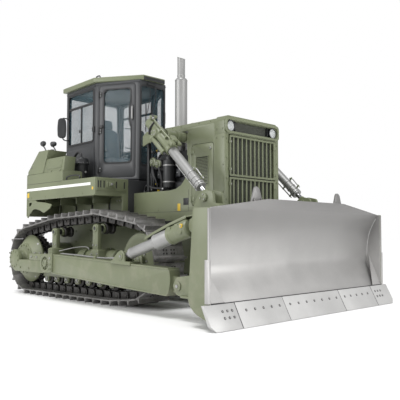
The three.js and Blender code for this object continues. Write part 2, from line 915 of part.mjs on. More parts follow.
piece("cab_shell", cabShell(), "charcoal");
piece("cab_roof", cabRoof(), "olive");
piece("windscreen", glassOn(frontWall, frontPane, cabWall), "glass");
piece("rear_glass", glassOn(rearWall, rearPane, cabWall), "glass");
for (const { tag } of sides) {
  piece(`side_glass_${tag}`, glassOn(sideWall[tag], sidePane(sideWall[tag].length), cabWall), "glass");
  piece(`cab_door_${tag}`, door(tag), "charcoal");
  piece(`door_glass_${tag}`, glassOn(doorWall[tag], doorPane(0), doorThick), "glass");
}

// ---------- Seat and console ----------
const cabinFloor = cabFloor + 40;

function operatorSeat() {
  return join(
    box(-190, 190, 1420, 1800, cabinFloor + seat, cabinFloor + 330),
    box(-260, 260, 1330, 1860, cabinFloor + 320, cabinFloor + 460),
    slab("x", [
      [1760, cabinFloor + 440, 30],
      [1900, cabinFloor + 440, 30],
      [2000, cabinFloor + 1060, 60],
      [1880, cabinFloor + 1060, 60],
    ], -250, 250),
    box(-130, 130, 1920, 2010, cabinFloor + 1040, cabinFloor + 1230),
  );
}

function console() {
  return join(
    slab("x", [
      [760, cabinFloor + seat],
      [960, cabinFloor + seat],
      [900, cabinFloor + 640],
      [720, cabinFloor + 560],
    ], -180, 180),
  );
}

piece("operator_seat", operatorSeat(), "cushion");
piece("dash_console", console(), "black");

// ---------- Cab base, fenders and tank ----------
function cabBase() {
  return join(
    box(-fenderInner + seat, fenderInner - seat, sillRear + seat, cabRearY, 1400, cabFloor - 60),
    slab("z", cabPlan(30), cabFloor - 60 - 1, cabFloor - seat),
  );
}

function fender(s) {
  const inner = s * (fenderInner + fenderSkin);
  const outer = s * (fenderOuter - fenderSkin);
  const cover = box(s * fenderInner, s * fenderOuter, fenderFront, fenderRear, fenderBottom, fenderTop);
  const hollow = box(inner, outer, fenderFront + fenderSkin, fenderRear - fenderSkin, 0, fenderTop - fenderSkin);
  const ribs = [900, 1650].map((y) => {
    return box(inner - s, outer + s, y, y + fenderSkin, fenderTop - 120, fenderTop - 1);
  });
  const leg = slab("y", [
    [s * fenderInner, fenderLegBottom],
    [s * (fenderInner + 120), fenderLegBottom],
    [s * (fenderInner + 120), fenderBottom + 1, 60],
    [s * (fenderInner + 260), fenderBottom + 1],
    [s * (fenderInner + 260), fenderBottom + 60],
    [s * fenderInner, fenderBottom + 60],
  ], fenderFront, fenderFront + fenderSkin);
  const tailFront = fenderRear - fenderSkin;
  const tail = box(s * fenderInner, s * fenderOuter, tailFront, fenderRear, fenderTailBottom, fenderTop - 1);
  return join(cut(cover, hollow), ribs, leg, tail, locker(s));
}

// The locker on top of the fender, with a tank's wedge and a sloped housing in front of it.
function locker(s) {
  const chest = box(s * lockerInner, s * fenderOuter, lockerFront, fenderRear, fenderTop - 1, lockerTop);
  const wedge = slab("x", [
    [fenderRear - 20, lockerTop - 1],
    [fenderRear - 20, lockerTop + 60],
    [fenderRear - 410, lockerTop + 410],
    [fenderRear - 750, lockerTop + 410],
    [fenderRear - 560, lockerTop - 1],
  ], s * (lockerInner + 10), s * (fenderOuter - 10));
  const housing = slab("x", [
    [fenderRear - 520, lockerTop - 1],
    [fenderRear - 680, lockerTop + 250],
    [lockerFront - 30, lockerTop + 250],
    [lockerFront + 20, lockerTop - 1],
  ], s * (lockerInner + 150), s * (fenderOuter - 30));
  return join(chest, wedge, housing);
}

function fuelTank() {
  const body = slab("x", [
    [cabRearY + roofLip + 30, tankBottom],
    [tankRear - 60, tankBottom, 40],
    [tankRear, tankBottom + 500, 40],
    [tankRear, tankTop - 260, 60],
    [tankRear - 220, tankTop, 60],
    [cabRearY + roofLip + 30, tankTop, 30],
  ], -tankHalf, tankHalf);
  const gap = clearance - 2;
  const recesses = sides.map(({ s }) => {
    return box(s * (fenderInner - gap), s * (tankHalf + 10), 2300, fenderRear + gap, 1300, fenderTop + gap);
  });
  return cut(body, recesses);
}

piece("cab_base", cabBase(), "black");
for (const { tag, s } of sides) {
  piece(`fender_${tag}`, fender(s), "olive");
}
piece("fuel_tank", fuelTank(), "olive");

// ---------- Push arms ----------
const armEyeInner = trunnionKnob + clearance;
const armEyeOuter = armEyeInner + armEyeWall;

function armTrunnion(s) {
  const shaftEnd = bracketFace - shaftDepth + 6;
  const x = (value) => value - shaftEnd;
  return turned(at(s * (trackCentre + shaftEnd), armRearY, armRearZ), at(s * 2000, armRearY, armRearZ), [
    [0, 0],
    [0, trunnionShaft],
    [x(armInner + 14), trunnionShaft],
    [x(armInner + 24), trunnionKnob],
    [x(armOuter - 24), trunnionKnob],
    [x(armOuter - 14), trunnionShaft],
    [x(armOuter + 14), trunnionShaft],
    [x(armOuter + 14), 0],
  ], wheelSides);
}

// Two ears that hold an eye between them, rising from what carries them.
function ears(s, x, eyeWidth, gap, plate, points) {
  return [-1, 1].map((side) => {
    const inner = x * s + side * (eyeWidth / 2 + gap);
    return slab("x", points, inner, inner + side * plate);
  });
}

function pushArm(s) {
  const low = s * (armX - armWidth / 2);
  const high = s * (armX + armWidth / 2);
  const beam = slab("x", [
    [armRearY, armRearZ + armEyeOuter],
    [930, 764],
    [-850, 690],
    [-1930, 652, 30],
    [-1960, 410, 30],
    [-1890, 302],
    [-850, 350],
    [930, 454],
    [armRearY, armRearZ - armEyeOuter],
  ], low, high);
  const eye = rod(at(low, armRearY, armRearZ), at(high, armRearY, armRearZ), armEyeOuter, wheelSides);
  const bore = rod(at(low - s, armRearY, armRearZ), at(high + s, armRearY, armRearZ), armEyeInner, wheelSides);
  const strap = box(s * (armX - 20), high + s * 22, 920, 1040, 480, 880);
  const lug = join(
    slab("x", [
      [-1860, 345],
      [armFrontY, armFrontZ - lugRadius],
      [armFrontY, armFrontZ + lugRadius],
      [-1860, 570],
    ], s * (armX - lugWidth / 2), s * (armX + lugWidth / 2)),
    rod(
      at(s * (armX - lugWidth / 2), armFrontY, armFrontZ),
      at(s * (armX + lugWidth / 2), armFrontY, armFrontZ),
      lugRadius,
    ),
  );
  const pinHole = rod(
    at(s * (armX - lugWidth), armFrontY, armFrontZ),
    at(s * (armX + lugWidth), armFrontY, armFrontZ),
    armPinRadius + 14,
  );
  const rearEars = ears(s, braceX, braceEyeWidth, braceEarGap, braceEarPlate, [
    [braceRearY - 105, 650],
    [braceRearY + 220, 650],
    [braceRearY + 70, braceRearZ + 60, 40],
    [braceRearY - 60, braceRearZ + 70, 40],
  ]);
  const seatTop = box(s * (braceX - 110), s * (braceX + 90), braceRearY - 210, braceRearY + 240, 620, 700);
  return cut(join(cut(join(beam, eye), bore), strap, lug, rearEars, seatTop), pinHole);
}

for (const { tag, s } of sides) {
  piece(`arm_trunnion_${tag}`, armTrunnion(s), "steel");
  piece(`push_arm_${tag}`, pushArm(s), "olive");
}

// ---------- Blade ----------
function bladeFace(offset) {
  const face = new THREE.SplineCurve([
    new THREE.Vector2(bladeFrontY + 14 + offset, bladeLip),
    new THREE.Vector2(bladeFrontY + 240 + offset, 600),
    new THREE.Vector2(bladeFrontY + 254 + offset, 800),
    new THREE.Vector2(bladeFrontY + 198 + offset, bladeCornerZ - 280),
    new THREE.Vector2(bladeFrontY + 52 + offset, bladeCornerZ),
    new THREE.Vector2(bladeFrontY + 10 + offset, bladeTopZ),
  ]);
  return face.getPoints(10).map((point) => [point.x, point.y]);
}

function mouldboardPlate() {
  const plate = slab("x", [...bladeFace(0), ...bladeFace(mouldboard).reverse()], -bladeHalf, bladeHalf);
  const trimmed = cut(plate, sides.map(({ s }) => slab("y", [
    [s * bladeTopHalf, bladeTopZ],
    [s * (bladeHalf + 20), bladeCornerZ - (bladeTopZ - bladeCornerZ) * 20 / (bladeHalf - bladeTopHalf)],
    [s * (bladeHalf + 20), bladeTopZ + 50],
    [s * bladeTopHalf, bladeTopZ + 50],
  ], bladeFrontY - 100, bladeFrontY + 400)));
  const ends = sides.map(({ s }) => slab("x", [
    [bladeFrontY + 15, bladeBottomZ],
    [bladeFrontY + edgeThick + 4, bladeBottomZ],
    [bladeFrontY - 10, 85],
    [bladeBackY - 110, 175, 60],
    [bladeBackY, 285, 60],
    [bladeBackY - 35, 800],
    [bladeBackY - 80, bladeCornerZ - 1, 30],
    [bladeFrontY + 15, bladeCornerZ - 1],
  ], s * (bladeHalf - 5), s * (bladeHalf + endPlate - 5)));
  const guards = sides.map(({ s }) => join(
    slab("y", [
      [s * guardEarX - 140, bladeTopZ - 110],
      [s * guardEarX + 140, bladeTopZ - 110],
      [s * guardEarX + 40, guardEarTop, 50],
      [s * guardEarX - 40, guardEarTop, 50],
    ], guardEarY, guardEarY + 30),
    box(
      s * guardEarX - 120,
      s * guardEarX + 120,
      bladeFrontY + 40,
      guardEarY + 10,
      bladeTopZ - 110,
      bladeTopZ - 80,
    ),
  ));
  return join(trimmed, ends, guards);
}

const backInner = bladeBackY - 6;

function bladeBackFrame() {
  const behind = [...bladeFace(mouldboard + seat)];
  const lowerBeam = slab("x", [
    ...behind.slice(0, 5),
    [bladeBackY, 760],
    [bladeBackY, 330],
    [bladeBackY - 60, bladeBottomZ + 6],
  ].reverse(), -bladeHalf + 10, bladeHalf - 10);
  const upperBeam = slab("x", [
    ...behind.slice(6, 9),
    [bladeBackY - 90, 1370],
    [bladeBackY - 60, 1080],
  ].reverse(), -bladeHalf + 10, bladeHalf - 10);
  const ribs = [-edgeSplit + 60, -650, 0, 650, edgeSplit - 60].map((x) => slab("x", [
    ...behind.slice(3, 8),
    [bladeBackY - 70, 1200],
    [bladeBackY - 20, 700],
  ].reverse(), x - 20, x + 20));
  const armBrackets = sides.map(({ s }) => join(
    box(s * (armX - 130), s * (armX + 130), backInner - 36, bladeBackY + 26, 250, 1290),
    ears(s, armX, lugWidth, 15, 40, [
      [bladeBackY - 10, 250],
      [bladeBackY - 10, 620],
      [armFrontY + 30, armFrontZ + 110, 60],
      [armFrontY + 100, armFrontZ, 60],
      [armFrontY + 30, armFrontZ - 110, 60],
    ].reverse()),
    rod(at(s * (armX - 100), armFrontY, armFrontZ), at(s * (armX + 100), armFrontY, armFrontZ), armPinRadius),
    ears(s, braceX, braceEyeWidth, braceEarGap, braceEarPlate, [
      [bladeBackY - 10, 1010],
      [bladeBackY - 10, 1290],
      [braceFrontY + 60, braceFrontZ + 70, 40],
      [braceFrontY + 70, braceFrontZ - 70, 40],
    ].reverse()),
  ));
  const liftEars = sides.map(({ s }) => join(
    box(s * (liftX - 150), s * (liftX + 150), backInner - 36, bladeBackY + 30, 760, 1380),
    slab("x", [
      [bladeBackY, 1100],
      [bladeBackY, 1380],
      [liftEyeY - 190, 1505, 30],
      [liftEyeY - 150, 1480],
      [liftEyeY - 150, 1210],
    ].reverse(), s * (liftX - 110), s * (liftX + 110)),
    ears(s, liftX, liftEyeWidth, liftEarGap, liftEarPlate, [
      [bladeBackY, 1060],
      [bladeBackY, 1340],
      [liftEyeY - 180, 1500, 30],
      [liftEyeY - 150, 1655, 50],
      [liftEyeY + 20, 1690, 50],
      [liftEyeY + 137, 1590, 50],
      [liftEyeY + 225, 1420, 30],
      [liftEyeY + 100, 1330, 60],
    ].reverse()),
    [-1, 1].map((side) => {
      const face = liftX * s + side * (liftEyeWidth / 2 + liftEarGap + liftEarPlate - 10);
      return rod(at(face, liftEyeY, liftEyeZ), at(face + side * 40, liftEyeY, liftEyeZ), 63);
    }),
  ));
  return join(lowerBeam, upperBeam, ribs, armBrackets, liftEars);
}

function edgePlate(from, to) {
  return slab("x", [
    [bladeTipY, edgeTipZ],
    [bladeTipY + edgeThick + 12, edgeTipZ],
    [bladeFrontY + edgeThick, bladeBottomZ - seat],
    [bladeFrontY, bladeBottomZ - seat],
  ].reverse(), from, to);
}

piece("mouldboard", mouldboardPlate(), "steel");
piece("blade_back_frame", bladeBackFrame(), "olive");
piece("cutting_edge", edgePlate(-edgeSplit + seat, edgeSplit - seat), "steel");
for (const { tag, s } of sides) {
  piece(`end_bit_${tag}`, edgePlate(s * edgeSplit, s * edgeHalf), "steel");
}

// ---------- Lift cylinders ----------
const liftLine = new THREE.Vector3(0, liftEyeY - trunnionY, liftEyeZ - trunnionZ);
const liftLength = liftLine.length();
liftLine.normalize();

// A point on a lift cylinder's centre line, measured from the trunnion towards the blade.
function onLift(s, distance) {
  return at(s * liftX, trunnionY, trunnionZ).addScaledVector(liftLine, distance);
}

const yokePin = 46;

function liftYoke(s) {
  const cheekInner = s * (yokeInner + clearance);
  const cheekOuter = s * (liftX - barrelRadius - 30);
  const cheek = rod(at(cheekInner, trunnionY, trunnionZ), at(cheekOuter, trunnionY, trunnionZ), 84);
  const bore = rod(
    at(cheekOuter - s * 90, trunnionY, trunnionZ),
    at(cheekOuter + s, trunnionY, trunnionZ),
    yokePin + running,
  );
  return cut(cheek, bore);
}

function liftBarrel(s) {
  const tube = turned(onLift(s, -barrelAbove), onLift(s, 0), [
    [0, 0],
    [0, barrelRadius - 10],
    [12, barrelRadius],
    [barrelAbove + barrelBelow - 50, barrelRadius],
    [barrelAbove + barrelBelow - 50, barrelRadius + 10],
    [barrelAbove + barrelBelow, barrelRadius + 10],
    [barrelAbove + barrelBelow, ramRadius + running],
    [26, ramRadius + running],
    [26, 0],
  ]);
  const trunnion = rod(
    at(s * (liftX - barrelRadius - 30 - 80), trunnionY, trunnionZ),
    at(s * (liftX - ramRadius - running - 5), trunnionY, trunnionZ),
    yokePin,
  );
  return join(tube, trunnion);
}

function liftRam(s) {
  const from = onLift(s, barrelBelow - ramInside);
  const length = ramEnd - barrelBelow + ramInside;
  return turned(from, onLift(s, ramEnd), [
    [0, liftRodRadius + running],
    [0, ramRadius],
    [length - 60, ramRadius],
    [length - 60, ramRadius + 8],
    [length, ramRadius + 8],
    [length, liftRodRadius + running],
    [0, liftRodRadius + running],
  ]);
}

function liftRod(s) {
  const stem = rod(onLift(s, ramEnd - 300), onLift(s, liftLength - 60), liftRodRadius);
  const eye = rod(
    at(s * (liftX - liftEyeWidth / 2), liftEyeY, liftEyeZ),
    at(s * (liftX + liftEyeWidth / 2), liftEyeY, liftEyeZ),
    liftEyeRadius,
  );
  return join(stem, eye);
}

for (const { tag, s } of sides) {
  piece(`lift_yoke_${tag}`, liftYoke(s), "olive");
  piece(`lift_barrel_${tag}`, liftBarrel(s), "olive");
  piece(`lift_ram_${tag}`, liftRam(s), "steel");
  piece(`lift_rod_${tag}`, liftRod(s), "chrome");
}

// ---------- Tilt cylinder and brace ----------
const braceLine = new THREE.Vector3(0, braceRearY - braceFrontY, braceRearZ - braceFrontZ);
const braceLength = braceLine.length();
braceLine.normalize();

// A point on the brace's centre line, measured from its front pin.
function onBrace(s, distance) {
  return at(s * braceX, braceFrontY, braceFrontZ).addScaledVector(braceLine, distance);
}

function braceEye(s, y, z) {
  return rod(
    at(s * (braceX - braceEyeWidth / 2), y, z),
    at(s * (braceX + braceEyeWidth / 2), y, z),
    braceEyeRadius,
    20,
  );
}

function tiltBarrel(s) {
  const tube = turned(onBrace(s, 120), onBrace(s, 1000), [
    [0, 0],
    [0, tiltBarrelRadius + 12],
    [90, tiltBarrelRadius + 12],
    [90, tiltBarrelRadius],
    [tiltBarrelLength - 120, tiltBarrelRadius],
    [tiltBarrelLength - 120, tiltRodRadius + running],
    [180, tiltRodRadius + running],
    [180, 0],
  ]);
  const neck = rod(onBrace(s, 40), onBrace(s, 140), 38, 16);
  return join(tube, neck, braceEye(s, braceFrontY, braceFrontZ));
}

function tiltRod(s) {
  const stem = rod(onBrace(s, 420), onBrace(s, braceLength - 165), tiltRodRadius);
  const neck = rod(onBrace(s, braceLength - 170), onBrace(s, braceLength - 30), 36, 12);
  return join(stem, neck, braceEye(s, braceRearY, braceRearZ));
}

function screwBrace(s) {
  const tube = rod(onBrace(s, 130), onBrace(s, braceLength - 130), tiltRodRadius + 4);
  const neck = rod(onBrace(s, 30), onBrace(s, braceLength - 30), 36, 16);
  return join(tube, neck, braceEye(s, braceFrontY, braceFrontZ), braceEye(s, braceRearY, braceRearZ));
}

piece("tilt_barrel", tiltBarrel(-1), "olive");
piece("tilt_rod", tiltRod(-1), "steel");
piece("tilt_brace", screwBrace(1), "olive");

// The origin stands under the middle of the machine's length.
bulldozer.position.y = -(drawbarEnd + bladeTipY) / 2;

export default bulldozer;
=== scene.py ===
import json
import math

import bmesh
import bpy
from mathutils import Matrix, Vector


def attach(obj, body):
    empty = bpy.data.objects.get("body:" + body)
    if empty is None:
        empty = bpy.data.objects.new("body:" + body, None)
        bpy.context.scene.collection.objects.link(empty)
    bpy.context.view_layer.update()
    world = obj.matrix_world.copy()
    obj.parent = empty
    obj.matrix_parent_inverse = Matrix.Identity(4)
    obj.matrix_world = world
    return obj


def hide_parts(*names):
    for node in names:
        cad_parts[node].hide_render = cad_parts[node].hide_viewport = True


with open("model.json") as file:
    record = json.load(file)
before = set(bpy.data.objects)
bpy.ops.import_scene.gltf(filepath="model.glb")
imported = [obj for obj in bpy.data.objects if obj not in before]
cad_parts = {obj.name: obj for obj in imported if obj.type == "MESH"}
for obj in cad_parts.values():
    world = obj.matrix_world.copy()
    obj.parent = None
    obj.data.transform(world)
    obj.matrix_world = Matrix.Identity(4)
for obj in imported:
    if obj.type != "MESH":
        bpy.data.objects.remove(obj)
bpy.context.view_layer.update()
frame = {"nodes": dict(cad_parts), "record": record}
print("frame loaded")

machineShift = Vector((0, -0.05, 0))  # from the sizes used below to the frame's origin
sides = (("right", -1), ("left", 1))

# camera, floor and light

shot = {
    "place": (-6.663, -7.591, 1.09),
    "turn": 44.34,
    "tilt": 3.38,
    "lens": 52.34,
    "floorSize": 160,
    "skyStrength": 0.62,
}


def setCamera():
    turn, tilt = math.radians(shot["turn"]), math.radians(shot["tilt"])
    ahead = Vector((math.sin(turn) * math.cos(tilt), math.cos(turn) * math.cos(tilt), math.sin(tilt)))
    camera = bpy.data.objects.new("camera", bpy.data.cameras.new("camera"))
    camera.data.lens = shot["lens"]
    camera.data.sensor_width = 36
    camera.data.clip_end = 400
    camera.location = shot["place"]
    camera.rotation_euler = ahead.to_track_quat("-Z", "Y").to_euler()
    bpy.context.collection.objects.link(camera)
    bpy.context.scene.camera = camera


def softLight(name, kind, place, aim, size, power):
    light = bpy.data.objects.new(name, bpy.data.lights.new(name, kind))
    light.data.energy = power
    if kind == "SUN":
        light.data.angle = math.radians(size)
    else:
        light.data.size = size
    light.location = place
    light.rotation_euler = (Vector(aim) - Vector(place)).to_track_quat("-Z", "Y").to_euler()
    bpy.context.collection.objects.link(light)


# finishes


class Field:
    # a shader value that can be added to and multiplied as a plain number can
    def __init__(self, finish, socket):
        self.finish = finish
        self.socket = socket

    def math(self, operation, other):
        return self.finish.node("ShaderNodeMath", {"operation": operation}, {0: self, 1: other})

    def __add__(self, other):
        return self.math("ADD", other)

    def __mul__(self, other):
        return self.math("MULTIPLY", other)

    def between(self, low, high, start=0.0, end=1.0):
        sockets = {0: self, 1: low, 2: high, 3: start, 4: end}
        return self.finish.node("ShaderNodeMapRange", {"interpolation_type": "SMOOTHSTEP"}, sockets)


class Finish:
    def __init__(self, name, color, roughness, metallic=0.0, **fixed):
        self.material = bpy.data.materials.new(name)
        self.material.use_nodes = True
        self.tree = self.material.node_tree
        self.shader = self.tree.nodes["Principled BSDF"]
        self.shader.inputs["Base Color"].default_value = (*color, 1)
        self.shader.inputs["Roughness"].default_value = roughness
        self.shader.inputs["Metallic"].default_value = metallic
        for socket, value in fixed.items():
            self.shader.inputs[socket.replace("_", " ")].default_value = value
        self.spot = self.node("ShaderNodeTexCoord", output="Object")
        self.normal = None

    def node(self, kind, settings=None, sockets=None, output=0):
        made = self.tree.nodes.new(kind)
        for key, value in (settings or {}).items():
            setattr(made, key, value)
        for key, value in (sockets or {}).items():
            if isinstance(value, Field):
                self.tree.links.new(value.socket, made.inputs[key])
            else:
                made.inputs[key].default_value = value
        return Field(self, made.outputs[output])

    def feed(self, socket, field):
        self.tree.links.new(field.socket, self.shader.inputs[socket])

    def along(self, scale=(1, 1, 1)):
        return self.node("ShaderNodeMapping", None, {"Vector": self.spot, "Scale": scale})

    def noise(self, scale, detail=3.0, rough=0.5, stretch=(1, 1, 1)):
        sockets = {"Vector": self.along(stretch), "Scale": scale, "Detail": detail, "Roughness": rough}
        return self.node("ShaderNodeTexNoise", {"noise_dimensions": "3D"}, sockets)

    def cells(self, scale):
        return self.node("ShaderNodeTexVoronoi", {"feature": "F1"}, {"Vector": self.along(), "Scale": scale})

    def axis(self, index):
        return self.node("ShaderNodeSeparateXYZ", None, {0: self.spot}, index)

    def mix(self, share, first, second):
        sockets = {0: share, 6: first, 7: second}
        return self.node("ShaderNodeMix", {"data_type": "RGBA"}, sockets, 2)

    def bump(self, height, strength, distance=0.002):
        sockets = {"Height": height, "Strength": strength, "Distance": distance}
        if self.normal:
            sockets["Normal"] = self.normal
        self.normal = self.node("ShaderNodeBump", None, sockets)
        self.feed("Normal", self.normal)


def shade(color, by):
    return (*[min(1.0, c * by) for c in color], 1)


paintLook = {
    "olive": (0.150, 0.168, 0.098),
    "charcoal": (0.034, 0.036, 0.039),
    "dust": (0.36, 0.33, 0.27),
    "yellow": (0.62, 0.42, 0.03),
    "white": (0.80, 0.80, 0.78),
}


def paint(name, color, roughness=0.42, dusty=0.25):
    # sprayed paint: slow changes of tone, a fine orange peel, and a little dust low down
    made = Finish(name, color, roughness, Coat_Weight=0.12, Coat_Roughness=0.25)
    cloud = made.noise(1.1, 4).between(0.3, 0.72)
    speck = made.noise(38, 3, 0.6).between(0.55, 0.75)
    tone = made.mix(cloud, shade(color, 0.93), shade(color, 1.07))
    tone = made.mix(speck * 0.10, tone, shade(color, 0.72))
    low = made.axis(2).between(1.3, 0.15)
    dust = low * made.noise(5, 6, 0.65).between(0.42, 0.7) * dusty
    made.feed("Base Color", made.mix(dust, tone, (*paintLook["dust"], 1)))
    made.feed("Roughness", cloud * 0.08 + dust * 0.4 + (roughness - 0.04))
    made.bump(made.noise(260, 2), 0.05, 0.001)
    made.bump(made.noise(3.5, 2), 0.08, 0.004)
    return made.material


def bareSteel(name, color, roughness, grain=(1, 1, 14), scratches=0.5, metallic=0.75, worn=0.0):
    # ground plate: long fine grain one way, faint cross scratches and cloudy patches
    made = Finish(name, color, roughness, metallic)
    fine = made.noise(60, 4, 0.6, grain)
    cloud = made.noise(1.6, 5, 0.6).between(0.3, 0.75)
    cross = made.noise(9, 6, 0.75, tuple(1 + 9 * (g < 2) for g in grain)).between(0.6, 0.72)
    tone = made.mix(cloud, shade(color, 0.88), shade(color, 1.06))
    tone = made.mix(fine.between(0.35, 0.7) * 0.35, tone, shade(color, 1.18))
    tone = made.mix(cross * scratches * 0.4, tone, shade(color, 0.72))
    if worn:
        # painted shade: a plate is darkened towards its top, as the mouldboard's upper face curves forward into shade
        high = made.axis(2).between(0.45, 1.45)
        tone = made.mix(high * worn, tone, shade(color, 0.4))
    made.feed("Base Color", tone)
    made.feed("Roughness", fine * 0.18 + cloud * 0.1 + (roughness - 0.14))
    made.bump(fine, 0.12, 0.001)
    made.bump(cross, 0.15 * scratches, 0.001)
    return made.material


def trackSteel(name, color, bright):
    # track steel: pitted, brown in patches and rubbed bright in specks
    made = Finish(name, color, 0.5, 0.55)
    pits = made.noise(55, 5, 0.7)
    cloud = made.noise(7, 5, 0.6).between(0.35, 0.7)
    rust = made.noise(15, 6, 0.7).between(0.56, 0.72)
    tone = made.mix(cloud, shade(color, 0.75), shade(color, 1.2))
    tone = made.mix(rust * 0.35, tone, (0.17, 0.12, 0.085, 1))
    tone = made.mix(pits.between(0.5, 0.75) * bright, tone, (0.42, 0.41, 0.40, 1))
    made.feed("Base Color", tone)
    made.feed("Roughness", pits * 0.3 + rust * 0.25 + 0.28)
    made.bump(pits, 0.35, 0.002)
    return made.material


def plainChrome():
    made = Finish("chrome plating", (0.3, 0.3, 0.31), 0.12, 1.0)
    film = made.noise(4, 4, 0.6).between(0.4, 0.8)
    made.feed("Roughness", film * 0.12 + 0.05)
    made.feed("Base Color", made.mix(film * 0.3, (0.32, 0.32, 0.33, 1), (0.2, 0.2, 0.2, 1)))
    return made.material


def rubber(name, color=(0.018, 0.018, 0.019), roughness=0.6):
    made = Finish(name, color, roughness)
    grain = made.noise(160, 3, 0.6)
    cloud = made.noise(6, 4).between(0.4, 0.75)
    made.feed("Base Color", made.mix(cloud * 0.6, shade(color, 1), shade(color, 1.9)))
    made.feed("Roughness", grain * 0.2 + (roughness - 0.1))
    made.bump(grain, 0.2, 0.001)
    return made.material


def windowGlass():
    # blue-grey tinted safety glass, slightly hazy in patches
    made = Finish("tinted glass", (0.06, 0.09, 0.11), 0.04, 0.0, Specular_IOR_Level=0.4)
    haze = made.noise(2.2, 4).between(0.35, 0.8)
    made.feed("Base Color", made.mix(haze, (0.035, 0.08, 0.10, 1), (0.07, 0.13, 0.155, 1)))
    made.feed("Alpha", haze * 0.07 + 0.22)
    made.feed("Roughness", haze * 0.05 + 0.02)
    return made.material


def lampGlass():
    made = Finish("lamp glass", (0.86, 0.87, 0.86), 0.08, 0.0, Coat_Weight=0.6)
    flutes = made.node(
        "ShaderNodeTexWave", {"bands_direction": "X"}, {"Vector": made.spot, "Scale": 26.0, "Distortion": 0.4}, 1
    )
    made.feed("Base Color", made.mix(flutes, (0.62, 0.64, 0.64, 1), (0.26, 0.28, 0.28, 1)))
    made.feed("Roughness", flutes * 0.1 + 0.04)
    made.bump(flutes, 0.6, 0.004)
    return made.material


def seatCloth():
    made = Finish("seat cloth", (0.10, 0.15, 0.19), 0.9, 0.0, Sheen_Weight=0.25)
    ribs = made.node(
        "ShaderNodeTexWave", {"bands_direction": "X"}, {"Vector": made.along(), "Scale": 55.0, "Distortion": 0.6}, 1
    )
    threads = made.cells(420)
    tone = made.mix(ribs, (0.10, 0.15, 0.19, 1), (0.19, 0.26, 0.31, 1))
    made.feed("Base Color", made.mix(threads * 0.5, tone, (0.05, 0.075, 0.095, 1)))
    made.bump(threads, 0.5, 0.001)
    made.bump(ribs, 0.4, 0.002)
    return made.material


def fineMesh():
    # perforated screen seen as dark holes in a painted sheet
    made = Finish("screen mesh", (0.03, 0.032, 0.03), 0.6, 0.3)
    holes = made.cells(160).between(0.25, 0.5)
    made.feed("Base Color", made.mix(holes, (0.006, 0.006, 0.006, 1), (0.07, 0.075, 0.06, 1)))
    made.bump(holes, 0.8, 0.003)
    return made.material


olive = paint("olive paint", paintLook["olive"])
charcoal = paint("charcoal paint", paintLook["charcoal"], 0.45, 0.1)
black = paint("black paint", (0.016, 0.017, 0.018), 0.5, 0.2)
yellow = paint("yellow paint", paintLook["yellow"], 0.4, 0.1)
white = paint("white paint", paintLook["white"], 0.4, 0.1)
# the ground plate's last value is the strength of its painted shade towards the top of the plates
plate = bareSteel("ground plate", (0.44, 0.433, 0.424), 0.46, (1, 14, 14), 0.35, 0.6, 0.8)
steel = bareSteel("brushed steel", (0.33, 0.33, 0.325), 0.46, (2, 2, 9), 0.05, 0.6)
edgeSteel = bareSteel("edge steel", (0.48, 0.477, 0.47), 0.5, (9, 1, 1), 0.3, 0.45)
trackDark = trackSteel("track links", (0.05, 0.048, 0.046), 0.2)
trackPlate = trackSteel("track shoes", (0.21, 0.205, 0.20), 0.5)
chrome = plainChrome()
gasket = rubber("black rubber")
plastic = rubber("black plastic", (0.03, 0.031, 0.033), 0.45)
glass = windowGlass()
lens = lampGlass()
cloth = seatCloth()
screen = fineMesh()
print("finishes made")

# shapes


def sharpEdges(shape, angle):
    return [e for e in shape.edges if len(e.link_faces) == 2 and e.calc_face_angle(0) > math.radians(angle)]


def bevelled(shape, edges, width, steps=2):
    if width and edges:
        bmesh.ops.bevel(
            shape, geom=edges, offset=width, segments=steps, profile=0.5, affect="EDGES", material=-1,
            clamp_overlap=True,
        )
    return shape


def roundOff(shape, width, angle=35, steps=2):
    return bevelled(shape, sharpEdges(shape, angle), width, steps)


def aimed(place, facing):
    # stands what was made along z at a place, facing the way given
    turn = Vector((0, 0, 1)).rotation_difference(Vector(facing))
    return Matrix.Translation(place) @ turn.to_matrix().to_4x4()


def trimmed(shape, place, facing):
    # takes away what lies in front of a plane, and gives back the open edges
    every = shape.verts[:] + shape.edges[:] + shape.faces[:]
    bmesh.ops.bisect_plane(shape, geom=every, dist=1e-5, plane_co=place, plane_no=facing, clear_outer=True)
    return [e for e in shape.edges if len(e.link_faces) == 1]


def block(x0, x1, y0, y1, z0, z1, edge=0.006):
    # a box between two corners, given in either order
    shape = bmesh.new()
    size = Vector((abs(x1 - x0), abs(y1 - y0), abs(z1 - z0)))
    middle = Vector((x0 + x1, y0 + y1, z0 + z1)) / 2
    bmesh.ops.create_cube(shape, size=1, matrix=Matrix.Translation(middle) @ Matrix.Diagonal((*size, 1)))
    return roundOff(shape, min(edge, min(size) * 0.45))


def onAxis(axis, u, v, w):
    return Vector({"x": (w, u, v), "y": (u, w, v), "z": (u, v, w)}[axis])


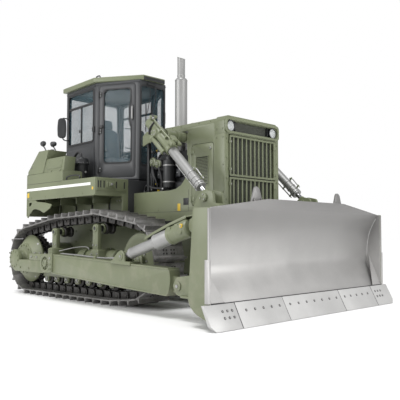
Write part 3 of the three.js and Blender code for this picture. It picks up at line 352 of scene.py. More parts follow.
def cutOut(axis, points, low, high, edge=0.004, holes=()):
    # a flat outline carried along an axis; a point is (u, v) or (u, v, corner radius)
    shape = bmesh.new()
    corners = []
    rims = []
    for ring in (points, *holes):
        verts = [shape.verts.new(onAxis(axis, p[0], p[1], low)) for p in ring]
        rims += [shape.edges.new((verts[i - 1], verts[i])) for i in range(len(verts))]
        corners += [(v.co.copy(), p[2]) for v, p in zip(verts, ring) if len(p) > 2 and p[2]]
    if holes:
        bmesh.ops.triangle_fill(shape, edges=rims, use_beauty=True, use_dissolve=False)
    else:
        bmesh.ops.contextual_create(shape, geom=rims)
    grown = bmesh.ops.extrude_face_region(shape, geom=shape.faces[:])
    moved = [v for v in grown["geom"] if isinstance(v, bmesh.types.BMVert)]
    bmesh.ops.translate(shape, verts=moved, vec=onAxis(axis, 0, 0, high - low))
    bmesh.ops.recalc_face_normals(shape, faces=shape.faces)
    bmesh.ops.dissolve_limit(shape, angle_limit=0.01, verts=shape.verts, edges=shape.edges)
    along = onAxis(axis, 0, 0, 1)
    for place, radius in corners:
        found = [
            e for e in shape.edges
            if (e.verts[0].co - e.verts[1].co).normalized().cross(along).length < 1e-4
            and min((v.co - place).length for v in e.verts) < 1e-5
        ]
        bevelled(shape, found, radius, 5)
    flat = "xyz".index(axis)
    rim = [e for e in sharpEdges(shape, 35) if abs(e.verts[0].co[flat] - e.verts[1].co[flat]) < 1e-6]
    return bevelled(shape, rim, edge)


def turned(start, end, profile, steps=32, edge=0.003):
    # (along, radius) pairs spun round the line from start towards end
    start, end = Vector(start), Vector(end)
    shape = bmesh.new()
    verts = [shape.verts.new((radius, 0, along)) for along, radius in profile]
    edges = [shape.edges.new(pair) for pair in zip(verts, verts[1:])]
    bmesh.ops.spin(
        shape, geom=verts + edges, cent=(0, 0, 0), axis=(0, 0, 1), angle=math.tau, steps=steps, use_merge=True
    )
    bmesh.ops.remove_doubles(shape, verts=shape.verts, dist=1e-5)
    bmesh.ops.recalc_face_normals(shape, faces=shape.faces)
    roundOff(shape, edge, 30)
    bmesh.ops.transform(shape, matrix=aimed(start, end - start), verts=shape.verts)
    return shape


def rod(start, end, radius, steps=24, edge=0.003):
    length = (Vector(end) - Vector(start)).length
    return turned(
        start, end, [(0, 0), (0, radius), (length, radius), (length, 0)], steps, min(edge, radius * 0.4, length * 0.4)
    )


def ring(start, end, outer, inner, steps=32, edge=0.002):
    length = (Vector(end) - Vector(start)).length
    return turned(start, end, [(0, inner), (0, outer), (length, outer), (length, inner), (0, inner)], steps, edge)


def bolt(place, facing, radius=0.017, height=0.014, sunk=0.002):
    shape = bmesh.new()
    bmesh.ops.create_cone(shape, cap_ends=True, segments=6, radius1=radius, radius2=radius * 0.92, depth=height)
    lift = Vector(facing).normalized() * (height / 2 - sunk)
    bmesh.ops.transform(shape, matrix=aimed(Vector(place) + lift, facing), verts=shape.verts)
    return shape


def boltCircle(middle, facing, radius, count, size=0.017, height=0.014, first=0.0):
    facing = Vector(facing).normalized()
    across = facing.orthogonal().normalized()
    spots = [Matrix.Rotation(first + i * math.tau / count, 3, facing) @ (across * radius) for i in range(count)]
    return [bolt(Vector(middle) + spot, facing, size, height) for spot in spots]


def hose(points, radius, bend=8, sides=3):
    # a pipe or hose on one smooth line through the points
    curve = bpy.data.curves.new("route", "CURVE")
    curve.dimensions = "3D"
    curve.resolution_u = bend
    curve.bevel_depth = radius
    curve.bevel_resolution = sides
    curve.use_fill_caps = True
    line = curve.splines.new("BEZIER")
    line.bezier_points.add(len(points) - 1)
    for knot, point in zip(line.bezier_points, points):
        knot.co = point
        knot.handle_left_type = knot.handle_right_type = "AUTO"
    holder = bpy.data.objects.new("route", curve)
    mesh = bpy.data.meshes.new_from_object(holder)
    shape = bmesh.new()
    shape.from_mesh(mesh)
    bmesh.ops.remove_doubles(shape, verts=shape.verts, dist=1e-5)
    bpy.data.objects.remove(holder)
    bpy.data.curves.remove(curve)
    bpy.data.meshes.remove(mesh)
    return shape


def carried(node, width=0.005, steps=2):
    # a copy of a CAD node with its edges rounded off
    shape = bmesh.new()
    shape.from_mesh(frame["nodes"][node].data)
    bmesh.ops.translate(shape, verts=shape.verts, vec=-machineShift)
    bmesh.ops.remove_doubles(shape, verts=shape.verts, dist=0.0002)
    bmesh.ops.dissolve_limit(shape, angle_limit=math.radians(1), verts=shape.verts, edges=shape.edges)
    return roundOff(shape, width, 28, steps)


def moved(shape, matrix):
    bmesh.ops.transform(shape, matrix=matrix, verts=shape.verts)
    if matrix.determinant() < 0:
        bmesh.ops.reverse_faces(shape, faces=shape.faces)
    return shape


class Piece:
    # gathers shapes into one object, each with its own finish
    def __init__(self, name):
        self.name = name
        self.shape = bmesh.new()
        self.finishes = []

    def add(self, finish, *shapes):
        for shape in shapes:
            self.stamp(finish, shape, (Matrix(),))
        return self

    def stamp(self, finish, shape, places):
        # the same shape at each of many places
        if finish not in self.finishes:
            self.finishes.append(finish)
        for face in shape.faces:
            face.material_index = self.finishes.index(finish)
        mesh = bpy.data.meshes.new("step")
        shape.to_mesh(mesh)
        shape.free()
        for place in places:
            copy = mesh.copy()
            copy.transform(place)
            self.shape.from_mesh(copy)
            bpy.data.meshes.remove(copy)
        bpy.data.meshes.remove(mesh)

    def done(self, body, slot, *nodes, angle=32):
        bmesh.ops.translate(self.shape, verts=self.shape.verts, vec=machineShift)
        mesh = bpy.data.meshes.new(self.name)
        self.shape.to_mesh(mesh)
        self.shape.free()
        for finish in self.finishes:
            mesh.materials.append(finish)
        mesh.polygons.foreach_set("use_smooth", [True] * len(mesh.polygons))
        mesh.set_sharp_from_angle(angle=math.radians(angle))
        made = bpy.data.objects.new(self.name, mesh)
        bpy.context.collection.objects.link(made)
        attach(made, body)
        if nodes:
            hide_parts(*nodes)
        return made


bpy.context.scene.view_settings.view_transform = "Standard"
setCamera()
floorShape = bmesh.new()
bmesh.ops.create_grid(floorShape, x_segments=1, y_segments=1, size=shot["floorSize"] / 2)
floorMesh = bpy.data.meshes.new("floor")
floorShape.to_mesh(floorMesh)
floorShape.free()
floor = bpy.data.objects.new("floor", floorMesh)
bpy.context.collection.objects.link(floor)
floorFinish = Finish("pale floor", (0.9, 0.9, 0.9), 0.85)
floorFinish.feed("Base Color", floorFinish.mix(floorFinish.noise(0.4), (0.89, 0.89, 0.89, 1), (0.92, 0.92, 0.92, 1)))
floorMesh.materials.append(floorFinish.material)
world = bpy.data.worlds.new("studio")
world.use_nodes = True
sky = world.node_tree.nodes["Background"]
seen = world.node_tree.nodes.new("ShaderNodeLightPath")
strength = world.node_tree.nodes.new("ShaderNodeMapRange")
strength.inputs["To Min"].default_value = shot["skyStrength"]
strength.inputs["To Max"].default_value = 1.0
world.node_tree.links.new(seen.outputs["Is Camera Ray"], strength.inputs["Value"])
world.node_tree.links.new(strength.outputs[0], sky.inputs["Strength"])
sky.inputs["Color"].default_value = (1, 1, 1, 1)
bpy.context.scene.world = world
softLight("over light", "SUN", (-3.0, -1.5, 8), (0, 0, 0), 24, 1.9)
softLight("front light", "AREA", (0.5, -10, 2.6), (0, -1, 0.6), 5, 330)
softLight("side light", "AREA", (-10, 2.5, 5.0), (0, 0.5, 1.2), 5, 420)

# tracks

trackSize = {
    "centre": 1.12,
    "shoes": 43,
    "pinRadius": 0.515,
    "idler": (-0.68, 0.695),
    "sprocket": (2.495, 0.645),
    "firstRoller": (-0.135, 0.13),
    "carriers": ((0.25, 1.37), (1.5, 1.316)),
    "sag": 0.008,
    "shoeHalf": 0.29,
    "grouser": 0.13,
    "boltSize": 0.014,
    "driveInner": 0.5003,
}


def pinLine():
    wheelAt, driveAt = Vector(trackSize["idler"]), Vector(trackSize["sprocket"])
    first, radius = Vector(trackSize["firstRoller"]), trackSize["pinRadius"]
    front, rear = (Vector(c) for c in trackSize["carriers"])

    def leaves(wheel, point, turn):
        away = point - wheel
        return math.atan2(away.y, away.x) % math.tau + turn * math.acos(radius / away.length)

    def arc(wheel, start, end):
        return [
            wheel + Vector((math.cos(a), math.sin(a))) * radius
            for a in (start + (end - start) * i / 60 for i in range(61))
        ]

    line = [first, Vector((driveAt.x, first.y))]
    line += arc(driveAt, -math.pi / 2, leaves(driveAt, rear, -1))
    low = (front + rear) / 2 - Vector((0, 2 * trackSize["sag"]))
    line += [rear * (1 - t) ** 2 + low * 2 * t * (1 - t) + front * t * t for t in (i / 12 for i in range(13))]
    line += arc(wheelAt, leaves(wheelAt, front, 1), leaves(wheelAt, first, -1))
    line.append(first)
    return line


def evenly(line, count):
    lengths = [(b - a).length for a, b in zip(line, line[1:])]
    step, spots, gone = sum(lengths) / count, [], 0.0
    for start, end, length in zip(line, line[1:], lengths):
        while len(spots) < count and len(spots) * step <= gone + length:
            spots.append(start.lerp(end, (len(spots) * step - gone) / length if length else 0))
        gone += length
    return spots


pins = evenly(pinLine(), trackSize["shoes"])
pitch = (pins[1] - pins[0]).length


def linkPlaces(centre):
    places = []
    for pin, after in zip(pins, pins[1:] + pins[:1]):
        ahead = (after - pin).normalized()
        columns = ((-1, 0, 0, 0), (0, ahead.x, ahead.y, 0), (0, ahead.y, -ahead.x, 0), (centre, pin.x, pin.y, 1))
        places.append(Matrix(columns).transposed())
    return places


def shoePlate():
    p, tip = pitch, trackSize["grouser"]
    profile = [
        (-0.016, 0.048), (0.004, 0.04), (p - 0.008, 0.04), (p - 0.006, 0.061), (p * 0.88, 0.063), (p * 0.82, 0.082),
        (p * 0.805, tip), (p * 0.7, tip), (p * 0.66, 0.082), (p * 0.56, 0.063), (0.0, 0.061), (-0.018, 0.057)
    ]
    half = trackSize["shoeHalf"]
    return cutOut("x", profile, -half, half, 0.0035)


def linkRails():
    rear = [(-0.05, -0.03, 0.02), (-0.03, -0.066, 0.02), (0.115, -0.069), (0.125, 0.04), (-0.05, 0.04, 0.02)]
    ahead = [
        (0.09, -0.069), (pitch + 0.03, -0.066, 0.02), (pitch + 0.05, -0.03, 0.02), (pitch + 0.05, 0.03, 0.02),
        (0.1, 0.04)
    ]
    rails = []
    for s in (-1, 1):
        rails.append(cutOut("x", rear, *sorted((s * 0.074, s * 0.105)), 0.003))
        rails.append(cutOut("x", ahead, *sorted((s * 0.044, s * 0.075)), 0.003))
        rails.append(rod((s * 0.1, 0, 0), (s * 0.115, 0, 0), 0.026, 12, 0.002))
    rails.append(rod((-0.045, 0, 0), (0.045, 0, 0), 0.034, 12, 0))
    return rails


for tag, s in sides:
    places = linkPlaces(s * trackSize["centre"])
    chain = Piece(f"track_{tag}_chain")
    chain.stamp(trackPlate, shoePlate(), places)
    for rail in linkRails():
        chain.stamp(trackDark, rail, places)
    for x in (-0.1, -0.045, 0.045, 0.1):
        for share in (0.2, 0.42):
            spot = (x, pitch * share, 0.061)
            chain.stamp(trackDark, bolt(spot, (0, 0, 1), trackSize["boltSize"], 0.012), places)
    chain.done("root", "track_steel", f"track_{tag}")

    centre, rim = s * trackSize["centre"], 0.4195
    y, z = trackSize["idler"]
    idlerProfile = [
        (0, 0), (0, 0.07), (0.006, 0.088), (0.034, 0.095), (0.04, 0.2), (0.03, 0.31), (0.016, 0.345),
        (0.016, rim - 0.012), (0.028, rim), (0.19, rim), (0.202, rim - 0.012), (0.202, 0.345), (0.188, 0.31),
        (0.178, 0.2), (0.184, 0.095), (0.212, 0.088), (0.218, 0.07), (0.218, 0),
    ]
    wheel = Piece(f"idler_{tag}_wheel")
    wheel.add(olive, turned((centre - 0.109, y, z), (centre + 1, y, z), idlerProfile, 72, 0.002))
    wheel.add(trackPlate, ring((centre - 0.082, y, z), (centre + 0.082, y, z), rim + 0.001, rim - 0.006, 72, 0))
    wheel.add(steel, *boltCircle((centre + s * 0.08, y, z), (s, 0, 0), 0.145, 8, 0.014))
    wheel.done("root", "track_steel", f"idler_{tag}")

    y, z = trackSize["sprocket"]
    drive = Piece(f"sprocket_{tag}_wheel")
    drive.add(trackDark, carried(f"sprocket_{tag}", 0.004))
    for face in (-1, 1):
        drive.add(steel, *boltCircle((centre + face * 0.042, y, z), (face, 0, 0), 0.345, 27, 0.013, 0.012))
    drive.done("root", "track_steel", f"sprocket_{tag}")

    inner = trackSize["driveInner"]
    # final drive: casing, cone, bolted flange and cap in one turned form
    driveProfile = [
        (inner, 0), (inner, 0.285), (0.86, 0.29), (0.96, 0.245), (1.0777, 0.245), (1.0777, 0.2047), (1.1623, 0.2047),
        (1.1623, 0.318), (1.232, 0.318), (1.25, 0.42), (1.264, 0.435), (1.284, 0.43), (1.34, 0.365),
        (1.395, 0.304), (1.402, 0.296), (1.404, 0.282), (1.43, 0.28), (1.432, 0.225), (1.436, 0.17),
        (1.445, 0.15), (1.515, 0.149), (1.53, 0.135), (1.53, 0.062), (1.522, 0.055), (1.522, 0),
    ]
    hub = Piece(f"final_drive_{tag}_case")
    hub.add(olive, turned((s * inner, y, z), (s * 2, y, z), [(x - inner, r) for x, r in driveProfile], 72, 0.003))
    hub.add(olive, *boltCircle((s * 1.432, y, z), (s, 0, 0), 0.25, 16, 0.018, 0.016))
    hub.add(olive, *boltCircle((s * 1.53, y, z), (s, 0, 0), 0.1, 8, 0.014, 0.012, 0.2))
    hub.add(steel, bolt((s * 1.522, y, z), (s, 0, 0), 0.03, 0.014))
    for turn in (0.9, 2.4, 4.1):
        spot = Vector((s * 1.3, y + 0.395 * math.cos(turn), z + 0.395 * math.sin(turn)))
        hub.add(steel, bolt(spot, (s * 0.8, math.cos(turn) * 0.6, math.sin(turn) * 0.6), 0.02, 0.014))
    # the beam outside the sprocket
    across = lambda value: centre + s * value
    rearBeam = [
        (1.434, 0.43), (2.5, 0.43, 0.06), (2.556, 0.5, 0.05), (2.555, 0.638), (2.42, 0.638), (2.36, 0.585, 0.05),
        (2.3, 0.638), (1.434, 0.638),
    ]
    hub.add(olive, cutOut("x", rearBeam, *sorted((across(0.33), across(0.5))), 0.008))
    hub.add(olive, block(across(0.335), across(0.49), 1.436, 1.97, 0.63, 0.757, 0.018))
    hub.add(olive, rod((across(0.42), y, z), (across(0.502), y, z), 0.172, 48, 0.008))
    hub.add(olive, *boltCircle((across(0.502), y, z), (s, 0, 0), 0.145, 10, 0.015, 0.014))
    for y in (1.5, 1.68, 1.86):
        hub.add(
            steel, bolt((across(0.43), y, 0.757), (0, 0, 1), 0.02, 0.018),
            bolt((across(0.49), y, 0.7), (s, 0, 0), 0.018, 0.016)
        )
    for y in (1.48, 1.95, 2.25):
        hub.add(olive, bolt((across(0.5), y, 0.5), (s, 0, 0), 0.02, 0.016))
    hub.done("root", "olive_paint", f"final_drive_{tag}")
print("tracks made")

# track frames

rollerSize = {"count": 7, "first": -0.045, "last": 1.93, "height": 0.314, "radius": 0.112}
for tag, s in sides:
    centre = s * trackSize["centre"]
    across = lambda value: centre + s * value  # from the track's centre outwards
    yoke = Piece(f"track_frame_{tag}_weldment")
    beam = [(-0.26, 0.34), (2.06, 0.34), (1.94, 0.6), (-0.26, 0.6)]
    yoke.add(olive, cutOut("x", beam, centre - 0.15, centre + 0.15, 0.014))
    fork = [(-0.79, 0.61, 0.05), (-0.18, 0.4), (-0.18, 0.66), (-0.79, 0.79, 0.05)]
    for f in (-1, 1):
        lo, hi = sorted((centre + f * 0.1098, centre + f * 0.145))
        yoke.add(olive, cutOut("x", fork, lo, hi, 0.006))
        yoke.add(
            olive,
            rod((centre + f * 0.14, *trackSize["idler"]), (centre + f * 0.158, *trackSize["idler"]), 0.07, 32, 0.006)
        )
        yoke.add(steel, *boltCircle((centre + f * 0.158, *trackSize["idler"]), (f, 0, 0), 0.045, 4, 0.011, 0.01))
    recoil = [
        (0, 0), (0, 0.1), (0.02, 0.142), (0.28, 0.142), (0.29, 0.158), (0.32, 0.168), (0.56, 0.168), (0.585, 0.158),
        (0.6, 0.145), (0.62, 0.142), (0.98, 0.142), (1.05, 0.13), (1.09, 0.06), (1.09, 0),
    ]
    yoke.add(olive, turned((centre, -0.06, 0.7), (centre, 1, 0.7), recoil, 48, 0.004))
    yoke.add(
        olive, ring((centre, 0.2, 0.7), (centre, 0.222, 0.7), 0.176, 0.14, 48),
        ring((centre, 0.73, 0.7), (centre, 0.752, 0.7), 0.176, 0.14, 48)
    )
    for i in range(8):
        turn = i * math.tau / 8
        spot = (centre + 0.16 * math.cos(turn), 0.199, 0.7 + 0.16 * math.sin(turn))
        yoke.add(steel, bolt(spot, (0, -1, 0), 0.011, 0.01))
    for i in range(rollerSize["count"]):
        y = rollerSize["first"] + (rollerSize["last"] - rollerSize["first"]) * i / (rollerSize["count"] - 1)
        z, r = rollerSize["height"], rollerSize["radius"]
        profile = [
            (0, 0), (0, 0.05), (0.006, 0.09), (0.016, r), (0.062, r), (0.07, r - 0.016), (0.13, r - 0.016),
            (0.138, r), (0.184, r), (0.194, 0.09), (0.2, 0.05), (0.2, 0),
        ]
        yoke.add(trackDark, turned((centre - 0.1, y, z), (centre + 1, y, z), profile, 32, 0.002))
        for f in (-1, 1):
            lo, hi = sorted((centre + f * 0.104, centre + f * 0.148))
            collar = [(y - 0.075, 0.36), (y - 0.06, 0.25, 0.03), (y + 0.06, 0.25, 0.03), (y + 0.075, 0.36)]
            yoke.add(olive, cutOut("x", collar, lo, hi, 0.006))
            yoke.add(
                steel, bolt((centre + f * 0.148, y - 0.035, 0.29), (f, 0, 0), 0.013),
                bolt((centre + f * 0.148, y + 0.035, 0.29), (f, 0, 0), 0.013)
            )
            yoke.add(steel, rod((centre + f * 0.14, y, 0.318), (centre + f * 0.157, y, 0.318), 0.024, 16, 0.003))
    for y, pinZ in trackSize["carriers"]:
        z = pinZ - 0.184
        roller = [
            (0, 0), (0, 0.06), (0.008, 0.085), (0.02, 0.092), (0.06, 0.092), (0.068, 0.076), (0.124, 0.076),
            (0.132, 0.092), (0.172, 0.092), (0.184, 0.085), (0.192, 0.06), (0.192, 0)
        ]
        yoke.add(trackDark, turned((across(-0.096), y, z), (across(1), y, z), roller, 40, 0.002))
        yoke.add(olive, rod((across(0.096), y, z), (across(0.13), y, z), 0.078, 32, 0.008))
        yoke.add(black, rod((across(0.128), y, z), (across(0.188), y, z), 0.05, 24))
        foot = [
            (y - 0.14, 0.55), (y - 0.14, 0.62), (y - 0.115, 0.7), (y - 0.1, 0.85, 0.02), (y + 0.1, 0.85, 0.02),
            (y + 0.115, 0.7), (y + 0.14, 0.62), (y + 0.14, 0.55)
        ]
        yoke.add(olive, cutOut("x", foot, *sorted((across(0.12), across(0.275))), 0.012))
        post = [
            (y - 0.075, 0.84), (y - 0.068, z + 0.03), (y - 0.05, z + 0.066, 0.03), (y + 0.05, z + 0.066, 0.03),
            (y + 0.068, z + 0.03), (y + 0.075, 0.84)
        ]
        yoke.add(olive, cutOut("x", post, *sorted((across(0.185), across(0.262))), 0.01))
        yoke.add(olive, rod((across(0.25), y, z), (across(0.276), y, z), 0.058, 32, 0.006))
        yoke.add(black, rod((across(0.27), y, z), (across(0.279), y, z), 0.03, 20, 0.002))
        for dy in (-0.055, 0.055):
            yoke.add(steel, bolt((across(0.262), y + dy * 0.8, 0.92), (s, 0, 0), 0.013))
        for dy in (-0.095, 0.095):
            yoke.add(
                steel, bolt((across(0.275), y + dy, 0.66), (s, 0, 0), 0.016),
                bolt((across(0.275), y + dy * 0.8, 0.78), (s, 0, 0), 0.014)
            )
    # bracket of the push arm's pin
    yoke.add(olive, block(across(0.14), across(0.27), 1.01, 1.432, 0.45, 0.752, 0.02))
    bracket = cutOut(
        "x", [(1.01, 0.45), (1.432, 0.45), (1.432, 0.7), (1.36, 0.752), (1.06, 0.752), (1.01, 0.7)],
        *sorted((across(0.26), across(0.404))), 0.01
    )
    yoke.add(olive, bracket, ring((across(0.38), 1.18, 0.612), (across(0.41), 1.18, 0.612), 0.135, 0.066, 40, 0.006))
    yoke.add(
        steel,
        hose(
            [(across(0.3), 0.36, 0.85), (across(0.24), 0.5, 0.88), (across(0.2), 0.9, 0.87), (across(0.3), 1.3, 0.8)],
            0.009
        )
    )
    yoke.done("root", "olive_paint", f"track_frame_{tag}")
print("track frames made")

# push arms

armSize = {
    "inner": 1.54,
    "outer": 1.74,
    "pivot": (1.18, 0.612),
    "pin": (-2.1, 0.44),
    "bracePin": (-0.93, 0.785),
    "braceX": 1.67,
}


def weld(points, radius=0.009):
    # a laid bead along a joint
    return hose(points, radius, 4, 2)


for tag, s in sides:
    pivotY, pivotZ = armSize["pivot"]
    inner, outer = armSize["inner"], armSize["outer"]
    arm = Piece(f"push_arm_{tag}_beam")
    flank = [
        (1.05, 0.762), (0.93, 0.764), (-0.85, 0.69), (-1.93, 0.652, 0.03), (-1.96, 0.41, 0.03), (-1.89, 0.302),
        (-0.85, 0.35), (0.93, 0.454), (1.05, 0.46),
    ]
    lo, hi = sorted((s * (inner + 0.004), s * (outer - 0.006)))
    arm.add(olive, cutOut("x", flank, lo, hi, 0.016))
    arm.add(olive, ring((s * inner, pivotY, pivotZ), (s * outer, pivotY, pivotZ), 0.158, 0.106, 56, 0.01))
    web = [(1.15, 0.76), (0.98, 0.764), (0.98, 0.457), (1.15, 0.455), (1.07, 0.55, 0.05), (1.07, 0.67, 0.05)]
    arm.add(olive, cutOut("x", web, lo, hi, 0.006))
    # top and bottom flange plates stand a little proud of the web
    top = [
        (1.02, 0.764), (0.93, 0.7665), (-0.85, 0.6925), (-1.92, 0.6545), (-1.92, 0.636), (-0.85, 0.672), (0.93, 0.746),
        (1.02, 0.746)
    ]
    arm.add(olive, cutOut("x", top, s * inner, s * outer, 0.004))
    low = [(0.95, 0.4545), (-0.85, 0.3475), (-1.88, 0.30), (-1.9, 0.318), (-0.85, 0.369), (0.95, 0.474)]
    arm.add(olive, cutOut("x", low, s * inner, s * outer, 0.004))
    strapLo, strapHi = s * 1.62, s * 1.76
    strap = [(0.93, 0.48), (1.03, 0.48), (1.04, 0.62), (1.04, 0.86, 0.03), (0.93, 0.88, 0.03), (0.92, 0.7)]
    arm.add(olive, cutOut("x", strap, strapLo, strapHi, 0.008))
    for z in (0.52, 0.6, 0.8, 0.845):
        arm.add(olive, bolt((s * 1.76, 0.958, z), (s, 0, 0), 0.016), bolt((s * 1.76, 1.004, z), (s, 0, 0), 0.016))
    arm.add(steel, bolt((s * 1.76, 0.98, 0.7), (s, 0, 0), 0.022, 0.012))
    # front lug, and the seat and ears of the brace's rear end
    lug = [(-1.86, 0.345), (-2.1, 0.355, 0.08), (-2.185, 0.44, 0.06), (-2.1, 0.525, 0.08), (-1.86, 0.57)]
    arm.add(olive, cutOut("x", lug, *sorted((s * 1.602, s * 1.678)), 0.006))
    arm.add(steel, ring((s * 1.598, *armSize["pin"]), (s * 1.682, *armSize["pin"]), 0.075, 0.05, 40))
    seatPlate = [(-1.14, 0.66), (-1.14, 0.706), (-1.1, 0.712, 0.02), (-0.7, 0.724, 0.02), (-0.69, 0.68)]
    arm.add(olive, cutOut("x", seatPlate, *sorted((s * 1.562, s * 1.756)), 0.006))
    earOutline = [
        (-1.035, 0.68), (-1.02, 0.72, 0.03), (-1.0, 0.845, 0.05), (-0.925, 0.872, 0.05), (-0.86, 0.845, 0.05),
        (-0.72, 0.72, 0.03), (-0.71, 0.68),
    ]
    for face in (-1, 1):
        near, far = armSize["braceX"] + face * 0.0555, armSize["braceX"] + face * 0.0835
        arm.add(olive, cutOut("x", earOutline, *sorted((s * near, s * far)), 0.006))
        boss = armSize["braceX"] + face * 0.092
        arm.add(olive, rod((s * far, *armSize["bracePin"]), (s * boss, *armSize["bracePin"]), 0.052, 28, 0.004))
        arm.add(steel, bolt((s * boss, *armSize["bracePin"]), (s * face, 0, 0), 0.018, 0.01))
    arm.add(steel, rod((s * 1.6, *armSize["bracePin"]), (s * 1.74, *armSize["bracePin"]), 0.034, 24))
    arm.add(olive, weld([(s * 1.742, -1.1, 0.7), (s * 1.742, -0.9, 0.706), (s * 1.742, -0.72, 0.712)]))
    arm.add(olive, weld([(s * 1.736, -1.94, 0.62), (s * 1.736, -1.955, 0.5), (s * 1.736, -1.92, 0.35)], 0.008))
    for y in (-0.1, 0.42):
        arm.add(olive, block(s * 1.6, s * 1.63, y - 0.03, y + 0.03, 0.715, 0.76, 0.004))
    arm.add(
        steel,
        hose([(s * 1.63, 0.86, 0.775), (s * 1.62, 0.4, 0.762), (s * 1.6, -0.2, 0.737), (s * 1.61, -0.66, 0.74)], 0.011)
    )
    arm.add(
        steel,
        hose([(s * 1.6, 0.86, 0.775), (s * 1.59, 0.4, 0.762), (s * 1.57, -0.2, 0.737), (s * 1.58, -0.62, 0.75)], 0.011)
    )
    arm.done(f"arm_{tag}", "olive_paint", f"push_arm_{tag}")

    pinPiece = Piece(f"arm_trunnion_{tag}_pin")
    knob = [
        (0, 0), (0, 0.055), (0.01, 0.064), (0.18, 0.064), (0.19, 0.102), (0.324, 0.102), (0.334, 0.064), (0.35, 0.064),
        (0.364, 0.054), (0.364, 0.03), (0.357, 0.026), (0.357, 0),
    ]
    pinPiece.add(olive, turned((s * 1.39, pivotY, pivotZ), (s * 2, pivotY, pivotZ), knob, 48, 0.002))
    pinPiece.add(olive, *boltCircle((s * 1.724, pivotY, pivotZ), (s, 0, 0), 0.082, 8, 0.012, 0.012))
    pinPiece.done("lift_frame", "bare_steel", f"arm_trunnion_{tag}")
print("push arms made")

# lift cylinders

liftSize = {
    "x": 1.1,
    "trunnion": (-0.975, 2.588),
    "eye": (-2.037, 1.585),
    "barrel": 0.083,
    "ram": 0.07,
    "rod": 0.036,
    "above": 0.312,
    "below": 0.415,
    "ramEnd": 1.235,
}
trunnionAt, eyeAt = Vector(liftSize["trunnion"]), Vector(liftSize["eye"])
liftAim = (eyeAt - trunnionAt).normalized()
liftReach = (eyeAt - trunnionAt).length


def onLift(s, along, across=0.0, over=0.0):
    # along the line from the trunnion, outwards from it, and square to it (upwards and forwards)
    spot = trunnionAt + liftAim * along + Vector((liftAim.y, -liftAim.x)) * over
    return Vector((s * (liftSize["x"] + across), spot.x, spot.y))


